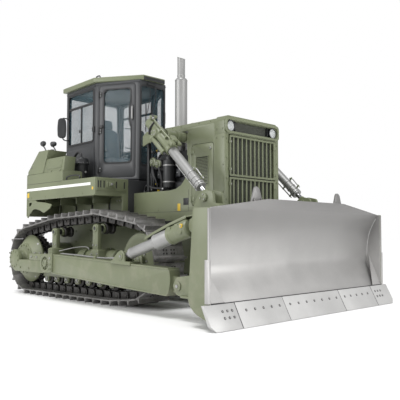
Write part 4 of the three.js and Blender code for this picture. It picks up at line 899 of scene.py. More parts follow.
for tag, s in sides:
    barrel = Piece(f"lift_barrel_{tag}_tube")
    r, above, below = liftSize["barrel"], liftSize["above"], liftSize["below"]
    profile = [
        (0, 0), (0, r - 0.03), (0.008, r - 0.014), (0.02, r - 0.004), (0.034, r), (0.1, r), (0.104, r + 0.005),
        (0.124, r + 0.005), (0.128, r), (above - 0.07, r), (above - 0.062, r + 0.014), (above + 0.062, r + 0.014),
        (above + 0.07, r), (above + below - 0.075, r), (above + below - 0.07, r + 0.010),
        (above + below - 0.012, r + 0.010), (above + below, r + 0.004), (above + below, 0.0715), (0.026, 0.0715),
        (0.026, 0)
    ]
    barrel.add(olive, turned(onLift(s, -above), onLift(s, 1), profile, 48, 0.002))
    barrel.add(olive, rod((s * 0.92, *trunnionAt), (s * 1.04, *trunnionAt), 0.045, 28))
    barrel.add(olive, rod((s * 1.165, *trunnionAt), (s * 1.215, *trunnionAt), 0.06, 32, 0.008))
    barrel.add(steel, *boltCircle((s * 1.215, *trunnionAt), (s, 0, 0), 0.036, 4, 0.01, 0.008))
    for i in range(8):
        turn = math.tau * i / 8
        tip = onLift(s, below - 0.04, 0.084 * math.cos(turn), 0.084 * math.sin(turn))
        aim = onLift(s, below - 0.04, math.cos(turn), math.sin(turn)) - onLift(s, below - 0.04)
        barrel.add(olive, bolt(tip, aim, 0.011, 0.012))
    # valve fitting on the head, with the pipe that runs down to the hydraulic blocks
    fit = onLift(s, -above + 0.05, 0, 0.1)
    barrel.add(olive, rod(onLift(s, -above + 0.05, 0, 0.06), onLift(s, -above + 0.05, 0, 0.125), 0.03, 20))
    barrel.add(olive, rod(onLift(s, -above + 0.05, 0.0, 0.11), onLift(s, -above + 0.05, 0.075, 0.11), 0.022, 16))
    barrel.add(olive, block(fit.x - 0.04, fit.x + 0.04, fit.y - 0.04, fit.y + 0.03, fit.z - 0.01, fit.z + 0.035, 0.008))
    barrel.add(plastic, rod(onLift(s, -above + 0.02, 0.04, 0.13), onLift(s, -above + 0.075, 0.04, 0.13), 0.014, 12))
    route = [(-0.26, 0.04, 0.118), (-0.16, 0.05, 0.116), (0.1, 0.05, 0.112), (0.3, 0.04, 0.116)]
    barrel.add(olive, hose([onLift(s, *p) for p in route], 0.011))
    barrel.add(steel, rod(onLift(s, -0.235, 0.05, 0.117), onLift(s, -0.2, 0.05, 0.117), 0.018, 6))
    # hydraulic blocks at the mouth
    for along, across, over, size in (
        (0.3, -0.02, 0.12, 0.045), (0.38, 0.055, 0.105, 0.04), (0.36, -0.085, 0.1, 0.035)
    ):
        spot = onLift(s, along, across, over)
        cube = block(-size, size, -size * 0.7, size * 0.7, -size * 1.3, size * 1.3, 0.007)
        barrel.add(olive, moved(cube, aimed(spot, (0, *liftAim))))
        for end in (-1, 1):
            tip = onLift(s, along + end * size * 1.7, across, over)
            barrel.add(olive, rod(spot, tip, size * 0.42, 16), rod(tip - (tip - spot) * 0.3, tip, size * 0.55, 6))
    for along in (0.06, 0.22):
        barrel.add(olive, rod(onLift(s, along - 0.012, 0.05, 0.09), onLift(s, along + 0.012, 0.05, 0.09), 0.026, 14))
    # slim cylinder beside the barrel, and its thin black pipes
    barrel.add(olive, rod(onLift(s, 0.02, 0.09, -0.085), onLift(s, 0.36, 0.09, -0.085), 0.034, 28, 0.006))
    barrel.add(olive, rod(onLift(s, -0.005, 0.09, -0.085), onLift(s, 0.04, 0.09, -0.085), 0.04, 20, 0.006))
    barrel.add(olive, rod(onLift(s, 0.33, 0.09, -0.085), onLift(s, 0.37, 0.09, -0.085), 0.04, 20, 0.006))
    barrel.add(gasket, rod(onLift(s, 0.37, 0.09, -0.085), onLift(s, 0.42, 0.09, -0.085), 0.016, 14))
    for along in (0.07, 0.3):
        barrel.add(olive, rod(onLift(s, along, 0.02, -0.04), onLift(s, along, 0.09, -0.085), 0.018, 10))
    for drop in (0.0, 0.022):
        route = [
            (-0.05, 0.1 + drop, -0.07), (-0.11, 0.09 + drop, -0.02), (-0.13, 0.07 + drop, 0.04), (-0.16, 0.05, 0.09)
        ]
        barrel.add(gasket, hose([onLift(s, *p) for p in route], 0.009))
    barrel.done(f"lift_cylinder_{tag}", "olive_paint", f"lift_barrel_{tag}")

    ram = Piece(f"lift_ram_{tag}_tube")
    r, length = liftSize["ram"], liftSize["ramEnd"] - 0.15
    profile = [
        (0, 0.0375), (0, r), (length - 0.065, r), (length - 0.06, r + 0.008), (length - 0.004, r + 0.008),
        (length, r + 0.004), (length, 0.0375)
    ]
    ram.add(steel, turned(onLift(s, 0.15), onLift(s, 5), profile, 48, 0.002))
    for along in (0.95, 1.06, 1.14):
        collar = [(0, r - 0.002), (0, r + 0.007), (0.018, r + 0.007), (0.018, r - 0.002)]
        ram.add(steel, turned(onLift(s, along), onLift(s, 5), collar, 48, 0.002))
    ram.add(
        black,
        turned(onLift(s, 1.205), onLift(s, 5), [(0, 0.068), (0, 0.079), (0.012, 0.079), (0.012, 0.068)], 40, 0.002)
    )
    # two pipes along the tube, and the clips that hold them
    for across, over, start, tuck in ((0.0, 0.118, 0.93, 0.8), (-0.02, -0.108, 0.6, 1.0)):
        route = [onLift(s, start, across * tuck, over * tuck)] + [
            onLift(s, a, across, over)
            for a in (start + 0.04, 1.1, 1.19)
        ]
        ram.add(steel, hose(route, 0.009))
        for along in (0.96, 1.15):
            ram.add(
                olive,
                rod(onLift(s, along, across * 0.6, over * 0.6), onLift(s, along, across * 1.12, over * 1.12), 0.014, 10)
            )
    for turn in (0.4, 1.6, 2.8, 4.2, 5.4):
        aside = (0.068 * math.cos(turn), 0.068 * math.sin(turn))
        ram.add(steel, rod(onLift(s, 1.17, *aside), onLift(s, 1.225, *aside), 0.013, 8))
    ram.done(f"lift_tube_{tag}", "bare_steel", f"lift_ram_{tag}")

    eye = Piece(f"lift_rod_{tag}_eye")
    eye.add(chrome, rod(onLift(s, 0.935), onLift(s, liftReach - 0.05), liftSize["rod"], 32))
    eye.add(olive, ring((s * 1.058, *eyeAt), (s * 1.142, *eyeAt), 0.076, 0.045, 40, 0.008))
    eye.add(olive, rod(onLift(s, liftReach - 0.13), onLift(s, liftReach - 0.045), 0.05, 28, 0.01))
    eye.add(steel, rod((s * 1.04, *eyeAt), (s * 1.16, *eyeAt), 0.046, 28))
    eye.done(f"lift_eye_{tag}", "chrome_rod", f"lift_rod_{tag}")

    yoke = Piece(f"lift_yoke_{tag}_cheek")
    yoke.add(olive, rod((s * 0.7085, *trunnionAt), (s * 0.775, *trunnionAt), 0.084, 40, 0.004))
    fork = turned(
        (s * 0.77, *trunnionAt), (s * 2, *trunnionAt),
        [(0, 0.0), (0, 0.07), (0.13, 0.074), (0.15, 0.084), (0.224, 0.084), (0.224, 0.05), (0.15, 0.05), (0.15, 0)], 40,
        0.005
    )
    yoke.add(olive, fork)
    yoke.add(steel, *boltCircle((s * 0.99, *trunnionAt), (s, 0, 0), 0.066, 6, 0.009, 0.008))
    yoke.done(f"lift_yoke_{tag}", "olive_paint", f"lift_yoke_{tag}")
print("lift cylinders made")

# tilt cylinder and brace

tiltSize = {"x": armSize["braceX"], "front": (-2.39, 1.215), "rear": armSize["bracePin"], "rod": 0.075}
tiltFront, tiltRear = Vector(tiltSize["front"]), Vector(tiltSize["rear"])
tiltAim, tiltReach = (tiltRear - tiltFront).normalized(), (tiltRear - tiltFront).length


def onTilt(s, along, across=0.0, over=0.0):
    spot = tiltFront + tiltAim * along + Vector((-tiltAim.y, tiltAim.x)) * over
    return Vector((s * (tiltSize["x"] + across), spot.x, spot.y))


def tiltEye(s, at):
    spot = tiltFront if at == "front" else tiltRear
    return [
        ring((s * 1.63, *spot), (s * 1.71, *spot), 0.07, 0.042, 40, 0.006),
        rod((s * 1.622, *spot), (s * 1.718, *spot), 0.043, 28, 0.003),
    ]


barrel = Piece("tilt_barrel_tube")
profile = [
    (0, 0), (0, 0.098), (0.02, 0.118), (0.05, 0.122), (0.2, 0.122), (0.205, 0.114), (0.33, 0.114), (0.335, 0.122),
    (0.378, 0.122), (0.386, 0.112), (0.386, 0)
]
barrel.add(olive, turned(onTilt(-1, 0.12), onTilt(-1, 1), profile, 48, 0.004))
profile = [
    (0, 0), (0, 0.104), (0.1, 0.104), (0.104, 0.107), (0.266, 0.107), (0.272, 0.111), (0.297, 0.111), (0.304, 0.104),
    (0.304, 0.0765), (0.24, 0.0765)
]
barrel.add(steel, turned(onTilt(-1, 0.5), onTilt(-1, 1), profile, 48, 0.003))
barrel.add(olive, rod(onTilt(-1, 0.05), onTilt(-1, 0.14), 0.05, 28), *tiltEye(-1, "front"))
barrel.add(olive, rod(onTilt(-1, 0.22, 0.07, -0.02), onTilt(-1, 0.22, 0.122, -0.02), 0.045, 24, 0.006))
barrel.add(yellow, rod(onTilt(-1, 0.17, 0.1, 0.03), onTilt(-1, 0.17, 0.132, 0.03), 0.026, 20, 0.005))
barrel.add(steel, bolt(onTilt(-1, 0.17, 0.132, 0.03), (-1, 0, 0), 0.014, 0.01))
for along in (0.3, 0.44):
    barrel.add(
        olive,
        block(
            -1.78, -1.7, onTilt(-1, along).y - 0.03, onTilt(-1, along).y + 0.03, onTilt(-1, along).z + 0.03,
            onTilt(-1, along).z + 0.09, 0.008
        )
    )
# folded guard above the cylinder, with the pipe that it covers
guard = [
    (-0.05, 0.115), (0.14, 0.15, 0.03), (0.45, 0.15, 0.03), (0.78, 0.13, 0.03), (0.98, 0.11), (0.98, 0.096),
    (0.77, 0.115, 0.03), (0.44, 0.135, 0.03), (0.15, 0.136, 0.03), (-0.04, 0.1)
]
shape = cutOut(
    "x", [(onTilt(-1, a, 0, o).y, onTilt(-1, a, 0, o).z, *rest) for a, o, *rest in guard], -1.725, -1.615, 0.004
)
barrel.add(olive, shape)
for x in (-1.63, -1.725):
    lip = [
        (0.12, 0.152), (0.45, 0.152), (0.78, 0.132), (0.97, 0.114), (0.97, 0.082), (0.78, 0.1), (0.45, 0.115),
        (0.12, 0.115)
    ]
    barrel.add(
        olive,
        cutOut("x", [(onTilt(-1, a, 0, o).y, onTilt(-1, a, 0, o).z) for a, o in lip], x - 0.006, x + 0.006, 0.002)
    )
for along in (0.2, 0.42, 0.66):
    barrel.add(olive, bolt(onTilt(-1, along, 0, 0.148 if along < 0.5 else 0.137), (0, 0.28, 0.96), 0.013))
    barrel.add(olive, rod(onTilt(-1, along, 0, 0.07), onTilt(-1, along, 0, 0.14), 0.02, 12))
barrel.add(
    gasket, hose([onTilt(-1, a, -0.02, o) for a, o in ((0.2, 0.12), (0.5, 0.125), (0.8, 0.105), (1.0, 0.09))], 0.012)
)
barrel.done("tilt_cylinder", "olive_paint", "tilt_barrel")

ram = Piece("tilt_rod_ram")
ram.add(steel, rod(onTilt(-1, 0.42), onTilt(-1, tiltReach - 0.17), tiltSize["rod"], 40, 0.006))
ram.add(
    steel,
    turned(
        onTilt(-1, tiltReach - 0.19), onTilt(-1, 3),
        [(0, 0), (0, 0.077), (0.02, 0.08), (0.05, 0.076), (0.07, 0.052), (0.15, 0.04), (0.15, 0)], 40, 0.004
    )
)
ram.add(olive, *tiltEye(-1, "rear"))
ram.done("tilt_ram", "bare_steel", "tilt_rod")

brace = Piece("tilt_brace_tube")
profile = [
    (0, 0), (0, 0.05), (0.04, 0.066), (0.07, 0.07), (0.24, 0.07), (0.25, 0.062), (0.3, 0.062), (0.31, 0.07),
    (1.16, 0.07), (1.19, 0.066), (1.26, 0.05), (1.26, 0)
]
brace.add(olive, turned(onTilt(1, 0.13), onTilt(1, 2), profile, 40, 0.004))
brace.add(
    olive, rod(onTilt(1, 0.05), onTilt(1, tiltReach - 0.05), 0.037, 24), *tiltEye(1, "front"), *tiltEye(1, "rear")
)
for along in (0.395, 0.425):
    brace.add(
        steel, turned(onTilt(1, along), onTilt(1, 2), [(0, 0.05), (0, 0.073), (0.012, 0.073), (0.012, 0.05)], 12, 0.002)
    )
brace.done("brace", "olive_paint", "tilt_brace")
print("tilt cylinder and brace made")

# blade

bladeSize = {
    "half": 1.93,
    "tip": -3.04,
    "front": -2.89,
    "corner": 1.4,
    "top": 1.54,
    "topHalf": 0.875,
    "edgeHalf": 2.065,
    "plate": 0.04,
    "cheekInner": 1.926,
}
faceKnots = [(-2.876, 0.232), (-2.65, 0.6), (-2.636, 0.8), (-2.692, 1.12), (-2.838, 1.4), (-2.88, 1.54)]


def faceLine(offset=0.0, count=24):
    # the same smooth line through the knots as the CAD plate has
    spots = []
    for i in range(count + 1):
        t = i / count * (len(faceKnots) - 1)
        k = min(int(t), len(faceKnots) - 2)
        w = t - k
        four = [Vector(faceKnots[min(max(n, 0), len(faceKnots) - 1)]) for n in (k - 1, k, k + 1, k + 2)]
        bend = (four[2] - four[0]) * 0.5, (four[3] - four[1]) * 0.5
        spot = (2 * w**3 - 3 * w**2 + 1) * four[1] + (w**3 - 2 * w**2 + w) * bend[0]
        spot += (3 * w**2 - 2 * w**3) * four[2] + (w**3 - w**2) * bend[1]
        spots.append((spot.x + offset, spot.y))
    return spots


def panel(points, thick):
    shape = bmesh.new()
    face = bmesh.ops.contextual_create(shape, geom=[shape.verts.new(p) for p in points])["faces"][0]
    face.normal_update()
    out = face.normal * thick
    grown = bmesh.ops.extrude_face_region(shape, geom=[face])
    bmesh.ops.translate(shape, verts=[v for v in grown["geom"] if isinstance(v, bmesh.types.BMVert)], vec=out)
    bmesh.ops.recalc_face_normals(shape, faces=shape.faces)
    return shape


plateShape = cutOut("x", faceLine() + faceLine(bladeSize["plate"])[::-1], -bladeSize["half"], bladeSize["half"], 0)
fall = (bladeSize["top"] - bladeSize["corner"]) / (bladeSize["half"] - bladeSize["topHalf"])
for s in (-1, 1):
    rim = trimmed(plateShape, (s * bladeSize["topHalf"], 0, bladeSize["top"]), (s * fall, 0, 1))
    bmesh.ops.contextual_create(plateShape, geom=rim)
bmesh.ops.recalc_face_normals(plateShape, faces=plateShape.faces)
blade = Piece("mouldboard_face")
blade.add(plate, roundOff(plateShape, 0.004, 50))
for s in (-1, 1):
    # end plates: steel inside, painted outside
    cheekX = s * bladeSize["cheekInner"]
    inner, outer = sorted((cheekX, s * 1.938))
    blade.add(
        plate,
        cutOut(
            "x",
            [
                (-2.872, 0.29), (-2.84, 0.292), (-2.897, 0.09), (-2.65, 0.178, 0.06), (-2.542, 0.286, 0.06),
                (-2.577, 0.8), (-2.622, 1.397, 0.03), (-2.872, 1.397)
            ],
            inner, outer, 0.002
        )
    )
    cheek = [
        (-2.875, 0.29), (-2.844, 0.294), (-2.9, 0.085), (-2.65, 0.175, 0.06), (-2.54, 0.285, 0.06), (-2.575, 0.8),
        (-2.62, 1.399, 0.03), (-2.875, 1.399)
    ]
    blade.add(olive, cutOut("x", cheek, *sorted((s * 1.9375, s * 1.975)), 0.004))
    # worn bright strip along the cheek's front edge
    blade.add(plate, block(s * 1.94, s * 1.9765, -2.877, -2.862, 0.3, 1.39, 0.003))
    guardX = s * 0.94
    ear = [(guardX - 0.135, 1.43), (guardX + 0.135, 1.43), (guardX + 0.04, 1.704, 0.05), (guardX - 0.04, 1.704, 0.05)]
    blade.add(plate, cutOut("y", ear, -2.735, -2.706, 0.004))
    blade.add(plate, block(guardX - 0.12, guardX + 0.12, -2.848, -2.725, 1.432, 1.458, 0.004))
    for x in (guardX - 0.07, guardX + 0.07):
        rib = [(-2.735, 1.44), (-2.735, 1.56), (-2.83, 1.44)]
        blade.add(plate, cutOut("x", rib, x - 0.008, x + 0.008, 0.002))
    # weld along the end plate, and the triangular wear plate in the lower corner
    blade.add(edgeSteel, hose([(cheekX, y - 0.001, z) for y, z in faceLine()[1:-1] if z < 1.39], 0.006, 2, 2))
    blade.add(plate, panel([(cheekX, -2.675, 0.78), (cheekX, -2.868, 0.3), (s * 1.70, -2.868, 0.3)], 0.012))
    blade.add(plate, block(s * 1.94, s * 1.99, -2.884, -2.83, 0.3, 0.8, 0.004))
blade.add(gasket, block(-1.925, 1.925, -2.887, -2.872, 0.2902, 0.299, 0))
blade.done("blade", "bare_steel", "mouldboard")

edge = Piece("cutting_edge_plates")
tipY, frontY = bladeSize["tip"], bladeSize["front"]
edgeSection = [(tipY, 0.006), (tipY + 0.054, 0.006), (frontY + 0.042, 0.2897), (frontY, 0.2897)]


def onEdge(x, up):
    # a point on the sloped front face, by its share of the height
    return Vector((x, tipY + (frontY - tipY) * up, 0.006 + 0.2837 * up))


edgeFacing = Vector((0, -0.884, 0.467))


def edgeBolt(piece, x, up):
    # a sunk bolt: a bright head in a dark ring of painted shade, standing for the shadow in its hole
    for finish, low, high, radius, steps in ((trackDark, -0.002, 0.0035, 0.017, 14), (steel, 0.001, 0.006, 0.009, 10)):
        spot = onEdge(x, up)
        piece.add(finish, rod(spot + edgeFacing * low, spot + edgeFacing * high, radius, steps, 0.001))


for x0, x1 in ((-1.5585, -0.6515), (-0.6485, 0.6485), (0.6515, 1.5585)):
    edge.add(edgeSteel, cutOut("x", edgeSection, x0, x1, 0.003))
for x in [-0.54 + 0.18 * i for i in range(7)] + [s * (0.76 + 0.16 * i) for s in (-1, 1) for i in range(5)]:
    edgeBolt(edge, x, 0.66)
for x in (-1.5555, -0.65, 0.65, 1.5555):
    edge.add(
        gasket,
        panel(
            [onEdge(x - 0.004, 0.01), onEdge(x + 0.004, 0.01), onEdge(x + 0.004, 0.995), onEdge(x - 0.004, 0.995)],
            0.0012
        )
    )
edge.done("blade", "bare_steel", "cutting_edge")
for tag, s in sides:
    bit = Piece(f"end_bit_{tag}_plate")
    tip = s * bladeSize["edgeHalf"]
    shape = cutOut("x", edgeSection, *sorted((s * 1.5605, tip)), 0)
    bmesh.ops.contextual_create(shape, geom=trimmed(shape, (tip, 0, 0.07), (s, 0, -1)))
    bmesh.ops.recalc_face_normals(shape, faces=shape.faces)
    bit.add(edgeSteel, roundOff(shape, 0.004))
    for x in (1.64, 1.72, 1.8):
        for up in (0.46, 0.72):
            edgeBolt(bit, s * x, up)
    bit.done("blade", "bare_steel", f"end_bit_{tag}")

back = Piece("blade_back_frame_weldment")
back.add(olive, carried("blade_back_frame", 0.006))
for tag, s in sides:
    for face in (-1, 1):
        back.add(
            olive,
            rod(
                (s * 1.64 + face * 0.095, *armSize["pin"]), (s * 1.64 + face * 0.112, *armSize["pin"]), 0.062, 28, 0.006
            )
        )
        spot = s * 1.1 + face * 0.144
        back.add(steel, *boltCircle((spot, *eyeAt), (face, 0, 0), 0.04, 3, 0.01, 0.008))
    back.add(steel, bolt((s * 1.752, *armSize["pin"]), (s, 0, 0), 0.024, 0.012))
    back.add(olive, block(s * 1.735, s * 1.75, -2.44, -2.16, 0.3, 0.33, 0.004))
    for z in (0.34, 0.4):
        back.add(steel, bolt((s * 1.72, -2.3, z), (s, 0, 0), 0.016))
back.done("blade", "olive_paint", "blade_back_frame")
print("blade made")

# hood, grilles and lamps

hoodSize = {
    "half": 0.62,
    "bars": 10,
    "lampX": 0.483,
    "lampZ": 2.668,
    "lampRadius": 0.078,
    "exhaust": -0.26,
    "exhaustCut": 4.12,
    "exhaustSlant": 22,
    "exhaustRadius": 0.066,
}

guardShell = Piece("radiator_guard_shell")
guardShell.add(olive, carried("radiator_guard", 0.008))
guardShell.add(screen, block(-0.5345, 0.5345, -1.802, -1.795, 1.215, 2.54, 0))
for x in (-0.577, 0.577):
    for z in (1.3, 1.6, 1.9, 2.2, 2.48):
        guardShell.add(olive, bolt((x, -1.86, z), (0, -1, 0), 0.012, 0.012))
for s in (-1, 1):
    for y, z in ((-1.83, 2.5), (-1.7, 2.5), (-1.83, 2.1), (-1.83, 1.7), (-1.83, 1.3), (-1.7, 1.3)):
        guardShell.add(olive, bolt((s * hoodSize["half"], y, z), (s, 0, 0), 0.012, 0.01))
guardShell.done("root", "olive_paint", "radiator_guard")

for name, body, z0, z1 in (("grille_lower", "root", 1.222, 1.917), ("grille_upper", "grille_door", 1.933, 2.533)):
    door = Piece(f"{name}_panel")
    rimFrame = [(-0.52, z0, 0.02), (0.52, z0, 0.02), (0.52, z1, 0.02), (-0.52, z1, 0.02)]
    inner = [
        (-0.492, z0 + 0.028, 0.015), (0.492, z0 + 0.028, 0.015), (0.492, z1 - 0.028, 0.015), (-0.492, z1 - 0.028, 0.015)
    ]
    door.add(olive, cutOut("y", rimFrame, -1.872, -1.845, 0.004, (inner,)))
    pitchX = 1.04 / (hoodSize["bars"] + 1)
    for i in range(1, hoodSize["bars"] + 1):
        x = -0.52 + i * pitchX
        door.add(olive, block(x - 0.014, x + 0.014, -1.866, -1.846, z0 + 0.015, z1 - 0.015, 0.004))
    for z in (z0 + 0.1, z1 - 0.1):
        door.add(olive, rod((0.533, -1.872, z - 0.035), (0.533, -1.872, z + 0.035), 0.013, 14))
        door.add(olive, block(0.485, 0.535, -1.878, -1.868, z - 0.03, z + 0.03, 0.003))
        door.add(olive, block(-0.535, -0.485, -1.882, -1.868, z - 0.022, z + 0.022, 0.004))
        door.add(steel, bolt((-0.505, -1.882, z), (0, -1, 0), 0.011, 0.01))
    door.done(body, "olive_paint", name)

lamps = Piece("lamp_band_shell")
lamps.add(olive, carried("lamp_band", 0.012, 3))
outer = [(-0.612, 2.555, 0.06), (0.612, 2.555, 0.06), (0.612, 2.79, 0.06), (-0.612, 2.79, 0.06)]
inner = [(-0.578, 2.588, 0.05), (0.578, 2.588, 0.05), (0.578, 2.752, 0.05), (-0.578, 2.752, 0.05)]
lamps.add(olive, cutOut("y", outer, -1.885, -1.855, 0.011, (inner,)))
lamps.add(black, block(-0.55, 0.55, -1.8, -1.788, 2.585, 2.75, 0))
lamps.add(screen, block(-0.37, 0.37, -1.81, -1.802, 2.59, 2.745, 0))
lamps.add(
    black, block(-0.375, -0.367, -1.846, -1.8, 2.59, 2.745, 0.002),
    block(0.367, 0.375, -1.846, -1.8, 2.59, 2.745, 0.002)
)
for s in (-1, 1):
    x, z, r = s * hoodSize["lampX"], hoodSize["lampZ"], hoodSize["lampRadius"]
    lamps.add(black, ring((x, -1.8, z), (x, -1.868, z), r + 0.008, r - 0.004, 40, 0.004))
    lamps.add(
        chrome,
        turned(
            (x, -1.79, z), (x, -3, z),
            [
                (0, 0), (0.004, r * 0.5), (0.03, r * 0.8), (0.06, r - 0.004), (0.062, r - 0.004), (0.03, r * 0.78),
                (0.008, r * 0.45), (0.006, 0)
            ],
            32, 0
        )
    )
    lamps.add(
        lens,
        turned(
            (x, -1.835, z), (x, -3, z),
            [(0, 0), (0, r - 0.003), (0.02, r - 0.003), (0.031, r * 0.7), (0.036, r * 0.35), (0.037, 0)], 32, 0
        )
    )
for s in (-1, 1):
    for y in (-1.82, -1.7):
        lamps.add(olive, bolt((s * hoodSize["half"], y, 2.62), (s, 0, 0), 0.012, 0.01))
    lamps.add(olive, bolt((s * 0.3, -1.86, 2.785), (0, -1, 0), 0.011, 0.01))
lamps.done("root", "olive_paint", "lamp_band")

cover = Piece("hood_cover_panels")
cover.add(olive, carried("hood_cover", 0.01, 3))
for y in (-1.1, -0.52):
    cover.add(olive, block(-0.545, 0.545, y - 0.02, y + 0.02, 2.797, 2.804, 0.002))
    for i in range(7):
        cover.add(olive, bolt((-0.48 + i * 0.16, y, 2.804), (0, 0, 1), 0.01, 0.009))
for s in (-1, 1):
    for y in (-1.55, -1.3, -0.9, -0.7, -0.3, -0.1):
        cover.add(olive, bolt((s * 0.585, y, 2.764), (s * 0.73, 0, 0.68), 0.011, 0.01))
cover.add(
    olive,
    turned(
        (0.32, -1.35, 2.798), (0.32, -1.35, 4),
        [(0, 0), (0, 0.06), (0.012, 0.06), (0.014, 0.05), (0.03, 0.05), (0.034, 0.044), (0.034, 0)], 32, 0.003
    )
)
cover.add(olive, ring((0, hoodSize["exhaust"], 2.797), (0, hoodSize["exhaust"], 2.815), 0.16, 0.108, 48, 0.004))
cover.add(olive, *boltCircle((0, hoodSize["exhaust"], 2.815), (0, 0, 1), 0.138, 8, 0.011, 0.009))
cover.done("root", "olive_paint", "hood_cover")

for tag, s in sides:
    face = s * hoodSize["half"]
    side = Piece(f"hood_side_{tag}_panel")
    side.add(olive, carried(f"hood_side_{tag}", 0.003))
    side.add(gasket, block(face, face + s * 0.0012, -1.655, 0.22, 1.441, 1.4455, 0))
    side.add(gasket, block(face, face + s * 0.0012, -1.112, -1.108, 1.448, 1.775, 0))
    side.add(black, block(face, face + s * 0.003, -1.105, -0.995, 1.54, 1.645, 0.002))
    if s < 0:
        side.add(yellow, block(face - 0.0022, face, -0.925, -0.86, 1.452, 1.565, 0.001))
    rows = [
        (-1.62, 1.48), (-1.3, 1.48), (-0.8, 1.48), (-0.4, 1.48), (0.0, 1.48), (0.2, 1.55), (0.2, 1.72), (-1.2, 1.36),
        (-0.7, 1.36), (-0.2, 1.36), (0.2, 1.36), (-1.13, 2.5), (-1.13, 2.62), (-0.8, 2.66), (-0.5, 2.645), (-0.2, 2.59)
    ]
    for y, z in rows:
        side.add(olive, bolt((face, y, z), (s, 0, 0), 0.010, 0.009))
    flange = [(-1.095, 2.3), (-1.095, 2.62), (-1.075, 2.62), (-1.075, 2.3)]
    side.add(olive, cutOut("x", flange, *sorted((s * 0.59, s * 0.6202)), 0.002))
    side.done("root", "olive_paint", f"hood_side_{tag}")

    door = Piece(f"hood_door_{tag}_panel")
    outline_ = [(-1.635, 1.52, 0.05), (-1.18, 1.52, 0.05), (-1.18, 2.44, 0.05), (-1.635, 2.44, 0.05)]
    vent = [(-1.525, 1.83, 0.01), (-1.275, 1.83, 0.01), (-1.275, 2.245, 0.01), (-1.525, 2.245, 0.01)]
    door.add(olive, cutOut("x", outline_, *sorted((s * 0.596, face)), 0.004, (vent,)))
    door.add(screen, block(s * 0.606, s * 0.612, -1.53, -1.27, 1.825, 2.25, 0))
    rim = [(-1.537, 1.818, 0.015), (-1.263, 1.818, 0.015), (-1.263, 2.257, 0.015), (-1.537, 2.257, 0.015)]
    door.add(olive, cutOut("x", rim, *sorted((s * 0.618, s * 0.625)), 0.002, (vent,)))
    for i in range(1, 19):
        z = 1.83 + i * 0.0218
        door.add(olive, block(s * 0.610, s * 0.620, -1.526, -1.274, z - 0.005, z + 0.005, 0.001))
    door.add(steel, rod((face, -1.58, 2.36), (s * 0.63, -1.58, 2.36), 0.018, 24, 0.003))
    door.add(black, rod((s * 0.628, -1.58, 2.36), (s * 0.634, -1.58, 2.36), 0.009, 12, 0.001))
    door.add(steel, rod((face, -1.58, 1.6), (s * 0.63, -1.58, 1.6), 0.018, 24, 0.003))
    for z in (1.62, 2.34):
        door.add(olive, rod((s * 0.626, -1.176, z - 0.045), (s * 0.626, -1.176, z + 0.045), 0.011, 14))
        door.add(olive, block(s * 0.618, s * 0.626, -1.235, -1.17, z - 0.035, z + 0.035, 0.003))
    door.done(f"hood_door_{tag}", "olive_paint", f"hood_door_{tag}")

pipe = Piece("exhaust_stack_pipe")
y = hoodSize["exhaust"]
profile = [
    (0, 0), (0, 0.105), (0.42, 0.105), (0.425, 0.109), (0.445, 0.109), (0.45, 0.105), (1.235, 0.105), (1.24, 0.108),
    (1.253, 0.108), (1.258, 0.1), (1.275, 0.093), (1.276, 0.066), (1.32, 0.066), (1.322, 0.069), (1.338, 0.069),
    (1.34, 0.066), (1.666, 0.066), (1.666, 0.058), (1.42, 0.057), (1.42, 0)
]
shape = turned((0, y, 2.4805), (0, y, 5), profile, 48, 0.0015)
cut, slant, r = hoodSize["exhaustCut"], math.radians(hoodSize["exhaustSlant"]), hoodSize["exhaustRadius"]
rims = trimmed(shape, (0, y, cut), Vector((0, -math.sin(slant), math.cos(slant))))
bmesh.ops.bridge_loops(shape, edges=rims)
bmesh.ops.recalc_face_normals(shape, faces=shape.faces)
pipe.add(steel, shape)
pipe.add(black, rod((0, y, 3.899), (0, y, 3.9), 0.056, 32, 0))
lip = [
    (r * math.cos(t), y + r * math.sin(t), cut + r * math.sin(t) * math.tan(slant))
    for t in (i * math.tau / 16 for i in range(17))
]
pipe.add(steel, hose(lip, 0.0045, 4, 2))
for turn in (0.6, 2.7):
    pipe.add(steel, block(-0.01, 0.01, y - 0.118, y - 0.1, 2.905, 2.925, 0.002))
pipe.done("root", "bare_steel", "exhaust_stack")
print("hood made")

# engine and frame

